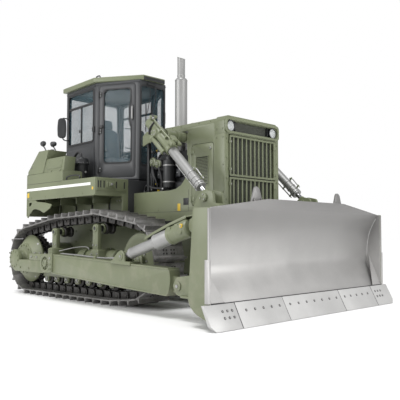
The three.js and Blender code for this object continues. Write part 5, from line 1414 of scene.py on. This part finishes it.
engine = Piece("engine_dressed")
engine.add(black, carried("engine_block", 0.01))
for s in (-1, 1):
    engine.add(black, block(s * 0.29, s * 0.36, -1.0, -0.1, 1.5, 1.95, 0.03))
    for i in range(6):
        y = -0.95 + i * 0.155
        engine.add(charcoal, block(s * 0.28, s * 0.37, y, y + 0.11, 2.02, 2.16, 0.02))
        engine.add(steel, bolt((s * 0.37, y + 0.055, 2.09), (s, 0, 0), 0.014))
    # pulleys beside the block, with the belt round them
    for y, z, r in ((-0.10, 2.29, 0.078), (-0.235, 2.25, 0.068)):
        x = s * 0.44
        profile = [
            (0, 0), (0, r * 0.7), (0.012, r * 0.74), (0.02, r), (0.03, r * 0.84), (0.04, r), (0.05, r * 0.84),
            (0.06, r), (0.066, r * 0.6), (0.085, r * 0.5), (0.085, 0)
        ]
        engine.add(olive, turned((x, y, z), (s * 2, y, z), profile, 40, 0.0015))
        engine.add(steel, *boltCircle((s * 0.525, y, z), (s, 0, 0), r * 0.3, 4, 0.009, 0.008))
        engine.add(charcoal, rod((s * 0.29, y, z), (s * 0.445, y, z), r * 0.8, 28, 0.008))
    engine.add(
        gasket,
        hose(
            [
                (s * 0.47, y, z)
                for y, z in (
                    (-0.02, 2.3), (-0.1, 2.372), (-0.24, 2.325), (-0.31, 2.25), (-0.24, 2.178), (-0.06, 2.222),
                    (-0.02, 2.3)
                )
            ],
            0.007, 8, 2
        )
    )
    # air canister and its clamps
    engine.add(black, rod((s * 0.42, -0.43, 1.84), (s * 0.42, -0.43, 2.3), 0.1, 36, 0.02))
    for z in (1.93, 2.2):
        engine.add(steel, ring((s * 0.42, -0.43, z), (s * 0.42, -0.43, z + 0.02), 0.103, 0.09, 36))
    engine.add(black, rod((s * 0.42, -0.43, 2.29), (s * 0.42, -0.43, 2.36), 0.06, 28, 0.01))
    # hoses with steel ends, but yellow on the second
    routes = (
        [(0.4, 0.03, 2.5), (0.44, 0.06, 2.4), (0.47, 0.02, 2.2), (0.48, -0.06, 2.02), (0.46, -0.03, 1.82)],
        [(0.38, -0.1, 2.5), (0.47, -0.08, 2.42), (0.5, -0.13, 2.1), (0.5, -0.2, 1.95), (0.44, -0.2, 1.8)],
        [(0.36, -0.3, 2.42), (0.44, -0.24, 2.4), (0.49, -0.26, 2.2), (0.47, -0.3, 2.0), (0.42, -0.25, 1.78)],
        [(0.32, -0.7, 2.3), (0.42, -0.6, 2.36), (0.45, -0.45, 2.4), (0.42, -0.3, 2.48)],
        [(0.46, 0.14, 1.8), (0.5, 0.06, 1.9), (0.49, -0.1, 1.86), (0.46, -0.35, 1.83)],
    )
    for i, route in enumerate(routes):
        points = [(s * x, y, z) for x, y, z in route]
        engine.add(gasket, hose(points, 0.013 if i % 2 else 0.018))
        for end, near in ((points[0], points[1]), (points[-1], points[-2])):
            tip = Vector(end) + (Vector(near) - Vector(end)).normalized() * 0.035
            engine.add(yellow if i == 1 else steel, rod(end, tip, 0.021, 10, 0.002))
    for y, z in ((0.1, 2.1), (0.02, 2.0), (-0.08, 1.93), (-0.3, 2.12)):
        engine.add(steel, rod((s * 0.36, y, z), (s * 0.4, y, z), 0.016, 12))
        engine.add(yellow, rod((s * 0.395, y, z), (s * 0.41, y, z), 0.011, 10, 0.001))
    engine.add(charcoal, block(s * 0.3, s * 0.4, -0.02, 0.12, 1.85, 2.2, 0.015))
    engine.add(charcoal, block(s * 0.3, s * 0.5, -0.36, -0.22, 2.45, 2.52, 0.012))
engine.done("root", "charcoal_paint", "engine_block")

lower = Piece("main_frame_weldment")
lower.add(olive, carried("main_frame", 0.01))
lower.done("root", "olive_paint", "main_frame")
case = Piece("rear_case_body")
case.add(olive, carried("rear_case", 0.012))
for s in (-1, 1):
    for z in (0.75, 0.95, 1.15):
        case.add(olive, bolt((s * 0.5, 2.2, z), (s, 0, 0), 0.02), bolt((s * 0.5, 1.7, z), (s, 0, 0), 0.02))
for x in (-0.4, -0.2, 0.0, 0.2, 0.4):
    case.add(olive, bolt((x, 2.88, 1.25), (0, 1, 0), 0.02), bolt((x, 2.88, 0.95), (0, 1, 0), 0.02))
case.add(
    olive,
    turned(
        (0, 2.87, 1.1), (0, 5, 1.1), [(0, 0), (0, 0.13), (0.02, 0.13), (0.024, 0.1), (0.05, 0.095), (0.05, 0)], 40,
        0.004
    )
)
case.add(steel, rod((0, 3.06, 0.71), (0, 3.06, 0.82), 0.034, 28, 0.006))
case.done("root", "olive_paint", "rear_case")
print("engine and frame made")

# cab

cabSize = {
    "front": (0.3, 0.5),
    "bend": (0.705, 1.27),
    "rear": (0.65, 2.34),
    "doorEdge": 0.082,
    "doorLow": 2.11,
    "doorHigh": 3.785,
    "post": 0.078,
    "paneTop": 3.752,
    "rim": 0.16,
    "glassLow": 2.367,
    "glassHigh": 3.707,
}


def cabCorner(name, s):
    x, y = cabSize[name]
    return Vector((s * x, y, 0))


def wallPlace(start, end):
    # u along the wall, v up, w outwards
    along = (end - start).normalized()
    out = along.cross(Vector((0, 0, 1)))
    rows = ((*along, 0), (0, 0, 1, 0), (*out, 0), (*start, 1))
    return Matrix(rows).transposed()


def framed(points, grow):
    (u0, v0, r), _, (u1, v1, _) = points[:3]
    return [
        (u0 - grow, v0 - grow, r + grow), (u1 + grow, v0 - grow, r + grow), (u1 + grow, v1 + grow, r + grow),
        (u0 - grow, v1 + grow, r + grow)
    ]


def pane(u0, u1, v0, v1, r):
    return [(u0, v0, r), (u1, v0, r), (u1, v1, r), (u0, v1, r)]


doorLength = (cabCorner("bend", 1) - cabCorner("front", 1)).length
sideLength = (cabCorner("rear", 1) - cabCorner("bend", 1)).length
places = {
    "front": wallPlace(cabCorner("front", -1), cabCorner("front", 1)),
    "rear": wallPlace(cabCorner("rear", 1), cabCorner("rear", -1)),
    "doorright": wallPlace(cabCorner("bend", -1), cabCorner("front", -1)),
    "doorleft": wallPlace(cabCorner("front", 1), cabCorner("bend", 1)),
    "sideright": wallPlace(cabCorner("rear", -1), cabCorner("bend", -1)),
    "sideleft": wallPlace(cabCorner("bend", 1), cabCorner("rear", 1)),
}


def onWall(name, shape):
    return moved(shape, places[name])


def seal(name, points, out=0.007, wide=0.02, inward=0.014):
    return onWall(name, cutOut("z", framed(points, wide), -0.012, out, 0.004, (framed(points, -inward),)))


shell = Piece("cab_shell_walls")
shell.add(charcoal, carried("cab_shell", 0.004))
edge, post, paneTop = cabSize["doorEdge"], cabSize["post"], cabSize["paneTop"]
frontPane = pane(0.026, 0.574, 2.33, paneTop, 0.06)
rearPane = pane(post, 1.222, 2.78, paneTop, 0.06)
sidePane = pane(post, sideLength - post, 2.79, paneTop, 0.05)
doorLine = pane(edge, doorLength - edge, cabSize["doorLow"], cabSize["doorHigh"], 0.06)
shell.add(gasket, seal("front", frontPane, 0.006, 0.016, 0.012), seal("rear", rearPane))
for tag, s in sides:
    shell.add(gasket, seal(f"side{tag}", sidePane))
    # sliding window: a bar across, an upright and a catch
    lo, hi = 0.095, sideLength - 0.095
    shell.add(gasket, onWall(f"side{tag}", block(lo, hi, 3.475, 3.515, -0.03, 0.002, 0.004)))
    shell.add(
        gasket,
        onWall(f"side{tag}", block(sideLength / 2 - 0.015, sideLength / 2 + 0.015, 2.81, 3.48, -0.034, -0.008, 0.004))
    )
    shell.add(
        plastic,
        onWall(f"side{tag}", block(sideLength / 2 - 0.05, sideLength / 2 - 0.02, 3.0, 3.06, -0.01, 0.006, 0.003))
    )
    # dark seal round the door
    shell.add(
        gasket,
        onWall(f"door{tag}", cutOut("z", framed(doorLine, 0.012), -0.044, -0.002, 0.001, (framed(doorLine, 0.0035),)))
    )
    # rain rails, and the side panel below the window with its bolts
    rail = block(0.0, sideLength, 3.79, 3.806, -0.002, 0.012, 0.004)
    shell.add(
        charcoal, onWall(f"side{tag}", rail),
        onWall(f"door{tag}", block(0.0, doorLength, 3.802, 3.818, -0.002, 0.012, 0.004))
    )
    for v in (2.15, 2.4, 2.65):
        for u in (0.12, sideLength - 0.12):
            shell.add(charcoal, onWall(f"side{tag}", bolt((u, v, 0), (0, 0, 1), 0.012, 0.01)))
    panel = [(0.05, 2.12, 0.03), (sideLength - 0.05, 2.12, 0.03), (sideLength - 0.05, 2.7, 0.03), (0.05, 2.7, 0.03)]
    shell.add(charcoal, onWall(f"side{tag}", cutOut("z", panel, -0.002, 0.006, 0.003)))
    # latch block on the post behind the door
    shell.add(
        black,
        onWall(
            f"side{tag}",
            block(
                *((sideLength - 0.07, sideLength - 0.01) if tag == "right" else (0.01, 0.07)), 2.95, 3.05, 0, 0.035,
                0.006
            )
        )
    )
    # mirror on its two arms
    mirrorAt = Vector((s * 0.95, 2.02, 3.08))
    shell.add(
        black,
        hose([(s * 0.66, 2.2, 3.3), (s * 0.82, 2.13, 3.3), (s * 0.92, 2.05, 3.26), (s * 0.94, 2.035, 3.2)], 0.011)
    )
    shell.add(
        black,
        hose([(s * 0.66, 2.2, 2.9), (s * 0.82, 2.13, 2.88), (s * 0.92, 2.05, 2.92), (s * 0.94, 2.035, 2.98)], 0.011)
    )
    head = [
        (-0.075, -0.19, 0.06), (0.075, -0.19, 0.06), (0.085, 0.0, 0.05), (0.07, 0.19, 0.06), (-0.07, 0.19, 0.06),
        (-0.085, 0.0, 0.05)
    ]
    face = Matrix.Translation(mirrorAt) @ Matrix.Rotation(s * math.radians(18), 4, "Z") @ Matrix.Rotation(
        math.radians(90), 4, "X"
    )
    shell.add(plastic, moved(cutOut("z", head, -0.02, 0.03, 0.016), face))
    shell.add(chrome, moved(cutOut("z", [(u * 0.86, v * 0.88, r) for u, v, r in head], -0.0225, -0.019, 0.001), face))
# wiper pair at the top of the windscreen, and one behind
for u in (0.2, 0.32):
    pivot = (u, 3.79, 0.02)
    shell.add(black, onWall("front", rod((u, 3.79, -0.005), (u, 3.79, 0.03), 0.017, 16)))
    tip = (u - 0.06, 3.22, 0.024)
    shell.add(black, onWall("front", hose([pivot, (u + 0.015, 3.6, 0.034), (u - 0.03, 3.35, 0.03), tip], 0.0065, 8, 2)))
    shell.add(gasket, onWall("front", block(u - 0.075, u - 0.062, 2.92, 3.45, 0.004, 0.02, 0.003)))
    shell.add(black, onWall("front", block(u - 0.073, u - 0.064, 3.0, 3.38, 0.018, 0.026, 0.002)))
shell.add(black, onWall("front", block(0.16, 0.36, 3.77, 3.815, 0.0, 0.028, 0.008)))
shell.add(black, onWall("rear", rod((0.65, 3.79, -0.005), (0.65, 3.79, 0.03), 0.017, 16)))
shell.add(black, onWall("rear", hose([(0.65, 3.79, 0.02), (0.6, 3.6, 0.03), (0.52, 3.3, 0.026)], 0.0065, 8, 2)))
shell.add(gasket, onWall("rear", block(0.51, 0.523, 3.1, 3.5, 0.004, 0.02, 0.003)))
for z in (2.16, 2.24):
    shell.add(
        charcoal, onWall("front", bolt((0.06, z, 0), (0, 0, 1), 0.011, 0.01)),
        onWall("front", bolt((0.54, z, 0), (0, 0, 1), 0.011, 0.01))
    )
shell.done("root", "charcoal_paint", "cab_shell")

for tag, s in sides:
    door = Piece(f"cab_door_{tag}_leaf")
    u1 = doorLength - cabSize["rim"]
    opening = pane(cabSize["rim"], u1, cabSize["glassLow"], cabSize["glassHigh"], 0.07)
    leaf = onWall(f"door{tag}", cutOut("z", doorLine, -0.046, 0.0, 0.006, (opening,)))
    door.add(charcoal, leaf)
    # rubber round the glass, drawn in beside the handle
    notch = [
        (0.148, 2.355, 0.08), (u1 + 0.012, 2.355, 0.08), (u1 + 0.012, 3.02, 0.03), (u1 - 0.026, 3.1, 0.03),
        (u1 - 0.026, 3.36, 0.03), (u1 + 0.004, 3.45, 0.03), (u1 + 0.004, 3.719, 0.08), (0.148, 3.719, 0.08),
    ]
    slim = [
        (0.172, 2.379, 0.06), (u1 - 0.012, 2.379, 0.06), (u1 - 0.012, 3.01, 0.03), (u1 - 0.052, 3.09, 0.03),
        (u1 - 0.052, 3.37, 0.03), (u1 - 0.02, 3.46, 0.03), (u1 - 0.02, 3.695, 0.06), (0.172, 3.695, 0.06),
    ]
    shape = cutOut("z", notch, -0.012, 0.007, 0.003, (slim,))
    cheek = cutOut(
        "z", [(u1 - 0.04, 3.02, 0.02), (u1 + 0.02, 3.0), (u1 + 0.02, 3.46), (u1 - 0.035, 3.44, 0.02)], -0.04, 0.001,
        0.002
    )
    handle = [
        (steel, block(u1 + 0.012, u1 + 0.036, 3.15, 3.36, 0.022, 0.036, 0.006)),
        (steel, block(u1 + 0.014, u1 + 0.034, 3.14, 3.18, -0.002, 0.03, 0.004)),
        (steel, block(u1 + 0.014, u1 + 0.034, 3.33, 3.37, -0.002, 0.03, 0.004)),
        (black, block(u1 + 0.004, u1 + 0.046, 3.11, 3.4, -0.001, 0.006, 0.006)),
    ]
    parts = [(gasket, shape), (charcoal, cheek)] + handle
    for v in (2.25, 2.95, 3.62):
        parts.append((black, rod((0.068, v - 0.06, 0.012), (0.068, v + 0.06, 0.012), 0.014, 16, 0.003)))
        parts.append((black, block(0.07, 0.125, v - 0.045, v + 0.045, 0.0, 0.01, 0.003)))
        parts.append((steel, bolt((0.105, v - 0.025, 0.01), (0, 0, 1), 0.008, 0.008)))
        parts.append((steel, bolt((0.105, v + 0.025, 0.01), (0, 0, 1), 0.008, 0.008)))
    parts.append((black, block(0.1, 0.15, 3.0, 3.06, 0.0, 0.03, 0.005)))
    parts.append((black, rod((0.08, 3.03, 0.02), (0.16, 3.03, 0.02), 0.012, 12)))
    mirrored = Matrix.Translation((doorLength, 0, 0)) @ Matrix.Diagonal((-1, 1, 1, 1))
    for finish, part in parts:
        if tag == "left":
            part = moved(part, mirrored)
        door.add(finish, onWall(f"door{tag}", part))
    door.done(f"cab_door_{tag}", "charcoal_paint", f"cab_door_{tag}")

roof = Piece("cab_roof_panel")
roof.add(olive, carried("cab_roof", 0.014, 3))
roofLine = [
    (-0.19, 0.56, 0.03), (0.19, 0.56, 0.03), (0.63, 1.28, 0.05), (0.6, 2.3, 0.05), (-0.6, 2.3, 0.05),
    (-0.63, 1.28, 0.05)
]
roof.add(olive, cutOut("z", roofLine, 3.93, 3.944, 0.006))
for x in (-0.62, 0.62):
    handle = [(1.27, 3.925), (1.27, 3.985), (1.33, 4.0), (1.385, 3.985), (1.385, 3.925)]
    roof.add(black, hose([(x, y, z) for y, z in handle], 0.012))
for x, y in ((-0.5, 2.2), (0.5, 2.2), (0.0, 0.62)):
    roof.add(olive, bolt((x, y, 3.944), (0, 0, 1), 0.016, 0.012))
lining = [(-0.22, 0.56), (0.22, 0.56), (0.64, 1.3), (0.59, 2.28), (-0.59, 2.28), (-0.64, 1.3)]
roof.add(plastic, cutOut("z", lining, 3.8, 3.843, 0.01))
# dark strip of painted shade along the roof's front edge, standing for the shadowed underside of the visor
roof.add(black, block(-0.243, 0.243, 0.4515, 0.462, 3.847, 3.91, 0.004))
roof.done("root", "olive_paint", "cab_roof")

base = Piece("cab_base_body")
base.add(black, carried("cab_base", 0.008))
base.done("root", "black_parts", "cab_base")

# inside the cab

padSize = {
    "seat_cushion": {
        "size": (0.52, 0.52, 0.15), "place": (0, 1.6, 2.475), "lean": 0.05, "crown": 0.28, "grooves": 4, "fill": 0.7,
    },
    "seat_backrest": {
        "size": (0.5, 0.64, 0.13), "place": (0, 1.875, 2.86), "lean": math.radians(79), "crown": 0.3, "grooves": 5,
        "fill": 0.7,
    },
    "seat_headrest": {
        "size": (0.3, 0.2, 0.1), "place": (0, 1.955, 3.25), "lean": math.radians(80), "crown": 0.25, "grooves": 1,
        "fill": 0.8,
    },
}


def cushion(name, size, place, lean, crown, grooves, fill):
    # a crowned closed pad: soft corners, sides drawn in, and sewn channels over the top
    half = Vector(size) / 2
    shape = bmesh.new()
    bmesh.ops.create_cube(shape, size=2)
    bmesh.ops.subdivide_edges(shape, edges=shape.edges, cuts=15, use_grid_fill=True)
    for vert in shape.verts:
        u, v, w = vert.co
        side = 1 - 0.09 * max(abs(u) ** 4, abs(v) ** 4) * abs(w)
        round_ = (1 - 0.13 * (u * v) ** 4) * side
        swell = 1 + crown * (1 - u**2) * (1 - v**2) - 0.28 * max(abs(u) ** 8, abs(v) ** 8)
        sewn = 0.0
        for i in range(grooves):
            line = -0.8 + 1.6 * (i + 0.5) / grooves
            sewn += 0.10 * math.exp(-((v - line) / 0.045) ** 2) * (1 - abs(u) ** 6)
        sewn += 0.12 * math.exp(-((abs(u) - 0.62) / 0.05) ** 2) * (1 - abs(v) ** 6)
        lift = swell - (sewn if w > 0.5 else 0)
        vert.co = Vector((u * half.x * round_, v * half.y * round_, w * half.z * lift))
    bmesh.ops.smooth_vert(shape, verts=shape.verts, factor=0.35, use_axis_x=True, use_axis_y=True, use_axis_z=True)
    bmesh.ops.transform(shape, matrix=Matrix.Translation(place) @ Matrix.Rotation(lean, 4, "X"), verts=shape.verts)
    made = Piece(name).add(cloth, shape).done("root", "seat_cloth", "operator_seat", angle=80)
    soft = made.modifiers.new("soft", "SUBSURF")
    soft.levels = soft.render_levels = 1


for name, pad in padSize.items():
    cushion(name, **pad)
mount = Piece("seat_mount")
mount.add(plastic, block(-0.2, 0.2, 1.42, 1.8, 2.101, 2.2, 0.02), block(-0.22, 0.22, 1.38, 1.84, 2.33, 2.405, 0.02))
for i in range(5):
    mount.add(
        gasket, block(-0.185 + i * 0.003, 0.185 - i * 0.003, 1.44, 1.78, 2.2 + i * 0.027, 2.222 + i * 0.027, 0.01)
    )
for x in (-0.07, 0.07):
    mount.add(steel, rod((x, 1.935, 3.1), (x, 1.95, 3.2), 0.009, 10))
for s in (-1, 1):
    mount.add(plastic, block(s * 0.28, s * 0.35, 1.45, 1.85, 2.64, 2.69, 0.015))
    mount.add(plastic, block(s * 0.29, s * 0.33, 1.78, 1.84, 2.36, 2.66, 0.012))
    mount.add(plastic, block(s * 0.2, s * 0.34, 1.79, 1.84, 2.34, 2.38, 0.008))
mount.done("root", "black_parts", "operator_seat")
dash = Piece("dash_console_body")
dash.add(plastic, carried("dash_console", 0.012))
dash.add(
    black,
    moved(
        block(-0.16, 0.16, -0.06, 0.06, -0.004, 0.006, 0.003),
        Matrix.Translation((0, 0.8, 2.705)) @ Matrix.Rotation(math.radians(24), 4, "X")
    )
)
for x in (-0.1, 0.0, 0.1):
    dash.add(steel, ring((x, 0.8, 2.705), (x, 0.775, 2.745), 0.035, 0.028, 24))
for s in (-1, 1):
    dash.add(plastic, block(s * 0.38, s * 0.52, 1.45, 1.95, 2.101, 2.5, 0.03))
    dash.add(black, hose([(s * 0.45, 1.5, 2.48), (s * 0.45, 1.48, 2.6), (s * 0.44, 1.44, 2.7)], 0.012))
    dash.add(
        plastic,
        turned(
            (s * 0.44, 1.44, 2.69), (s * 0.44, 1.42, 2.8),
            [(0, 0), (0, 0.016), (0.03, 0.026), (0.08, 0.024), (0.1, 0.012), (0.1, 0)], 20, 0.002
        )
    )
    dash.add(
        gasket,
        moved(
            block(-0.05, 0.05, -0.07, 0.07, -0.006, 0.006, 0.003),
            Matrix.Translation((s * 0.11, 0.99, 2.16)) @ Matrix.Rotation(math.radians(50), 4, "X")
        )
    )
dash.done("root", "black_parts", "dash_console")
print("cab made")

# fenders, lockers and what stands on them

fenderSize = {"outer": 1.4, "front": 0.24, "bossX": 1.115, "stripe": (1.885, 1.93)}

for tag, s in sides:
    outer, front, bossX = s * fenderSize["outer"], fenderSize["front"], s * fenderSize["bossX"]
    fender = Piece(f"fender_{tag}_body")
    fender.add(olive, carried(f"fender_{tag}", 0.012, 3))
    fender.add(white, block(outer, outer + s * 0.0015, 0.37, 2.465, *fenderSize["stripe"], 0))
    if s < 0:
        fender.add(yellow, block(outer - 0.002, outer, 0.29, 0.33, 1.81, 1.855, 0.001))
        fender.add(yellow, block(outer - 0.002, outer, 2.38, 2.45, 1.765, 1.85, 0.001))
    for y in (0.6, 1.2, 1.8, 2.3):
        fender.add(olive, bolt((outer, y, 1.76), (s, 0, 0), 0.011, 0.009))
    # vent plate on the front face: slots, rivets and a square boss
    plateLine = [(s * 0.79, 1.79, 0.01), (s * 1.385, 1.79, 0.01), (s * 1.385, 2.0, 0.01), (s * 0.79, 2.0, 0.01)]
    fender.add(olive, cutOut("y", plateLine, front - 0.012, front + 0.002, 0.004))
    for x in (0.83, 0.99, 1.235, 1.30, 1.345):
        fender.add(black, block(s * x - 0.011, s * x + 0.011, front - 0.0135, front - 0.01, 1.84, 1.955, 0))
        for v in (1.835, 1.96):
            fender.add(
                olive, block(s * x - 0.014, s * x + 0.014, front - 0.019, front - 0.01, v - 0.006, v + 0.006, 0.003)
            )
    fender.add(olive, block(bossX - 0.085, bossX + 0.085, front - 0.03, front - 0.008, 1.84, 1.96, 0.006))
    fender.add(olive, block(bossX - 0.05, bossX + 0.05, front - 0.055, front - 0.02, 1.865, 1.935, 0.008))
    fender.add(steel, rod((bossX, front - 0.07, 1.9), (bossX, front - 0.05, 1.9), 0.02, 20, 0.003))
    for dx in (-0.07, 0.07):
        fender.add(olive, block(bossX + dx - 0.012, bossX + dx + 0.012, front - 0.045, front - 0.02, 1.85, 1.95, 0.004))
    for x in [0.81 + 0.0795 * i for i in range(8)]:
        for z in (1.803, 1.987):
            fender.add(olive, bolt((s * x, front - 0.012, z), (0, -1, 0), 0.007, 0.007))
    # rolled edge below the front and the outer skirt
    fender.add(olive, rod((s * 0.86, front + 0.015, 1.727), (s * 1.385, front + 0.015, 1.727), 0.016, 16, 0.002))
    fender.add(olive, rod((s * 1.385, front + 0.02, 1.727), (s * 1.385, 2.46, 1.727), 0.015, 16, 0.002))
    # curved mudguard behind, with a slot
    mudguard = [
        (2.455, 1.72), (2.455, 1.4), (2.36, 1.5, 0.05), (2.2, 1.56, 0.08), (1.98, 1.52, 0.05), (1.86, 1.47, 0.04),
        (1.62, 1.56, 0.05), (1.6, 1.62, 0.04), (1.85, 1.66, 0.05), (2.1, 1.68), (2.2, 1.728), (2.44, 1.728)
    ]
    slot = [(2.36, 1.6, 0.02), (2.4, 1.6, 0.02), (2.4, 1.67, 0.02), (2.3, 1.68, 0.02), (2.3, 1.64, 0.02)]
    fender.add(olive, cutOut("x", mudguard, *sorted((s * 1.372, s * 1.392)), 0.004, (slot,)))
    curl = [(1.6, 1.6), (1.85, 1.645), (2.15, 1.6), (2.36, 1.48), (2.45, 1.4)]
    fender.add(olive, hose([(s * 1.38, y, z) for y, z in curl], 0.012))
    # inner wall: pressed panels with bolts
    for y0, y1 in ((0.3, 0.72), (0.78, 1.24), (1.3, 1.76), (1.82, 2.3)):
        panel = [(y0, 1.42, 0.06), (y1, 1.42, 0.06), (y1, 1.72, 0.06), (y0, 1.72, 0.06)]
        fender.add(olive, cutOut("x", panel, *sorted((s * 0.733, s * 0.762)), 0.012))
        for y in (y0 + 0.06, y0 + 0.13, (y0 + y1) / 2):
            fender.add(steel, bolt((s * 0.762, y, 1.66), (s, 0, 0), 0.013))
        fender.add(olive, block(s * 0.74, s * 1.1, y1 + 0.015, y1 + 0.035, 1.62, 1.75, 0.006))
    # locker lid with its hinges, the bolted side panel, the cap and a catch
    lid = [(s * 1.01, 1.235, 0.02), (s * 1.395, 1.235, 0.02), (s * 1.395, 1.72, 0.02), (s * 1.01, 1.72, 0.02)]
    fender.add(olive, cutOut("z", lid, 2.188, 2.202, 0.005))
    fender.add(gasket, block(outer, outer + s * 0.0012, 1.24, 2.46, 2.006, 2.011, 0))
    for y in (1.32, 1.62):
        fender.add(olive, rod((s * 1.395, y - 0.03, 2.2), (s * 1.395, y + 0.03, 2.2), 0.012, 14))
    housing = [(1.86, 2.25, 0.03), (1.76, 2.4, 0.03), (1.28, 2.4, 0.03), (1.3, 2.25, 0.03)]
    fender.add(olive, cutOut("x", housing, *sorted((s * 1.368, s * 1.376)), 0.003))
    for y, z in ((1.34, 2.28), (1.34, 2.37), (1.72, 2.37), (1.8, 2.28)):
        fender.add(olive, bolt((s * 1.376, y, z), (s, 0, 0), 0.009, 0.008))
    fender.add(
        black,
        turned(
            (s * 1.2, 1.92, 2.59), (s * 1.2, 1.92, 4),
            [(0, 0), (0, 0.05), (0.03, 0.052), (0.035, 0.04), (0.05, 0.036), (0.05, 0)], 28, 0.003
        )
    )
    fender.add(steel, rod((s * 1.39, 2.32, 2.32), (s * 1.405, 2.32, 2.32), 0.014, 14))
    # canister with a bolted flange, between the cab and the locker
    fender.add(
        black,
        turned(
            (s * 0.9, 1.42, 2.008), (s * 0.9, 1.42, 4),
            [
                (0, 0), (0, 0.12), (0.33, 0.12), (0.335, 0.142), (0.36, 0.142), (0.365, 0.132), (0.43, 0.13),
                (0.45, 0.11), (0.455, 0.05), (0.47, 0.045), (0.47, 0)
            ],
            40, 0.004
        )
    )
    for i in range(10):
        turn = i * math.tau / 10
        fender.add(
            steel,
            bolt((s * 0.9 + 0.132 * math.cos(turn), 1.42 + 0.132 * math.sin(turn), 2.368), (0, 0, 1), 0.008, 0.012)
        )
    fender.add(
        gasket,
        hose(
            [
                (s * 0.9, 1.42, 2.45), (s * 0.9, 1.46, 2.56), (s * 0.88, 1.62, 2.56), (s * 0.84, 1.78, 2.4),
                (s * 0.8, 1.85, 2.1)
            ],
            0.022
        )
    )
    fender.add(steel, rod((s * 0.9, 1.29, 2.2), (s * 0.9, 1.27, 2.2), 0.02, 12))
    # rear lamps on stalks
    for x, y, turn in ((1.22, 2.2, -0.4), (1.06, 2.12, 0.5)):
        fender.add(black, hose([(s * x, y - 0.12, 2.595), (s * x, y - 0.05, 2.68), (s * x, y + 0.02, 2.74)], 0.011))
        aim = Vector((s * turn * 0.6, 1, -0.1)).normalized()
        middle = Vector((s * x, y + 0.02, 2.78))
        fender.add(
            plastic,
            turned(
                middle - aim * 0.07, middle + aim,
                [
                    (0, 0), (0, 0.024), (0.02, 0.04), (0.05, 0.048), (0.09, 0.052), (0.1, 0.047), (0.092, 0.043),
                    (0.092, 0)
                ],
                28, 0.003
            )
        )
        fender.add(
            lens,
            turned(
                middle + aim * 0.015, middle + aim * 2,
                [(0, 0), (0, 0.043), (0.012, 0.042), (0.017, 0.028), (0.019, 0)], 24, 0.002
            )
        )
    # grab rail by the door, and the step's studs
    fender.add(
        black,
        hose(
            [
                (s * 1.36, 0.75, 2.005), (s * 1.36, 0.75, 2.06), (s * 1.36, 0.8, 2.075), (s * 1.36, 1.1, 2.075),
                (s * 1.36, 1.15, 2.06), (s * 1.36, 1.15, 2.005)
            ],
            0.012
        )
    )
    tread = [
        block(s * x - 0.02, s * x + 0.02, y - 0.006, y + 0.006, 2.008, 2.013, 0.001)
        for x in (1.0, 1.1, 1.2, 1.3) for y in (0.36, 0.46, 0.56, 0.66, 0.76, 0.86, 0.96, 1.06)
    ]
    fender.add(olive, *tread)
    fender.done("root", "olive_paint", f"fender_{tag}")

tank = Piece("fuel_tank_body")
tank.add(olive, carried("fuel_tank", 0.02, 3))
tank.add(
    black,
    turned((0.42, 2.6, 2.648), (0.42, 2.6, 4), [(0, 0), (0, 0.07), (0.035, 0.07), (0.045, 0.06), (0.045, 0)], 32, 0.004)
)
for x in (-0.5, 0.5):
    tank.add(olive, block(x - 0.03, x + 0.03, 2.885, 2.912, 1.9, 2.35, 0.006))
tank.add(
    olive, cutOut("y", [(-0.3, 1.6, 0.05), (0.3, 1.6, 0.05), (0.3, 1.8, 0.05), (-0.3, 1.8, 0.05)], 2.86, 2.885, 0.006)
)
for x in (-0.62, 0.62):
    tank.add(plastic, block(x - 0.06, x + 0.06, 2.89, 2.93, 2.2, 2.28, 0.01))
    tank.add(lens, block(x - 0.05, x + 0.05, 2.925, 2.936, 2.21, 2.27, 0.006))
for z in (1.55, 2.05):
    tank.add(olive, block(-0.7, 0.7, 2.895, 2.905, z, z + 0.03, 0.004))
tank.done("root", "olive_paint", "fuel_tank")
print("fenders made")

# finishes of the CAD nodes that are still showing

slots = {s["node"]: s["material_slot"] for s in frame["record"]["subparts"]}
slotFinish = {
    "olive_paint": olive,
    "charcoal_paint": charcoal,
    "track_steel": trackDark,
    "bare_steel": steel,
    "chrome_rod": chrome,
    "black_parts": black,
    "cab_glass": glass,
    "seat_cloth": cloth,
}
for name, node in frame["nodes"].items():
    if node.hide_render:
        continue
    for materialSlot in node.material_slots:
        materialSlot.link = "OBJECT"
        materialSlot.material = slotFinish[slots[name]]
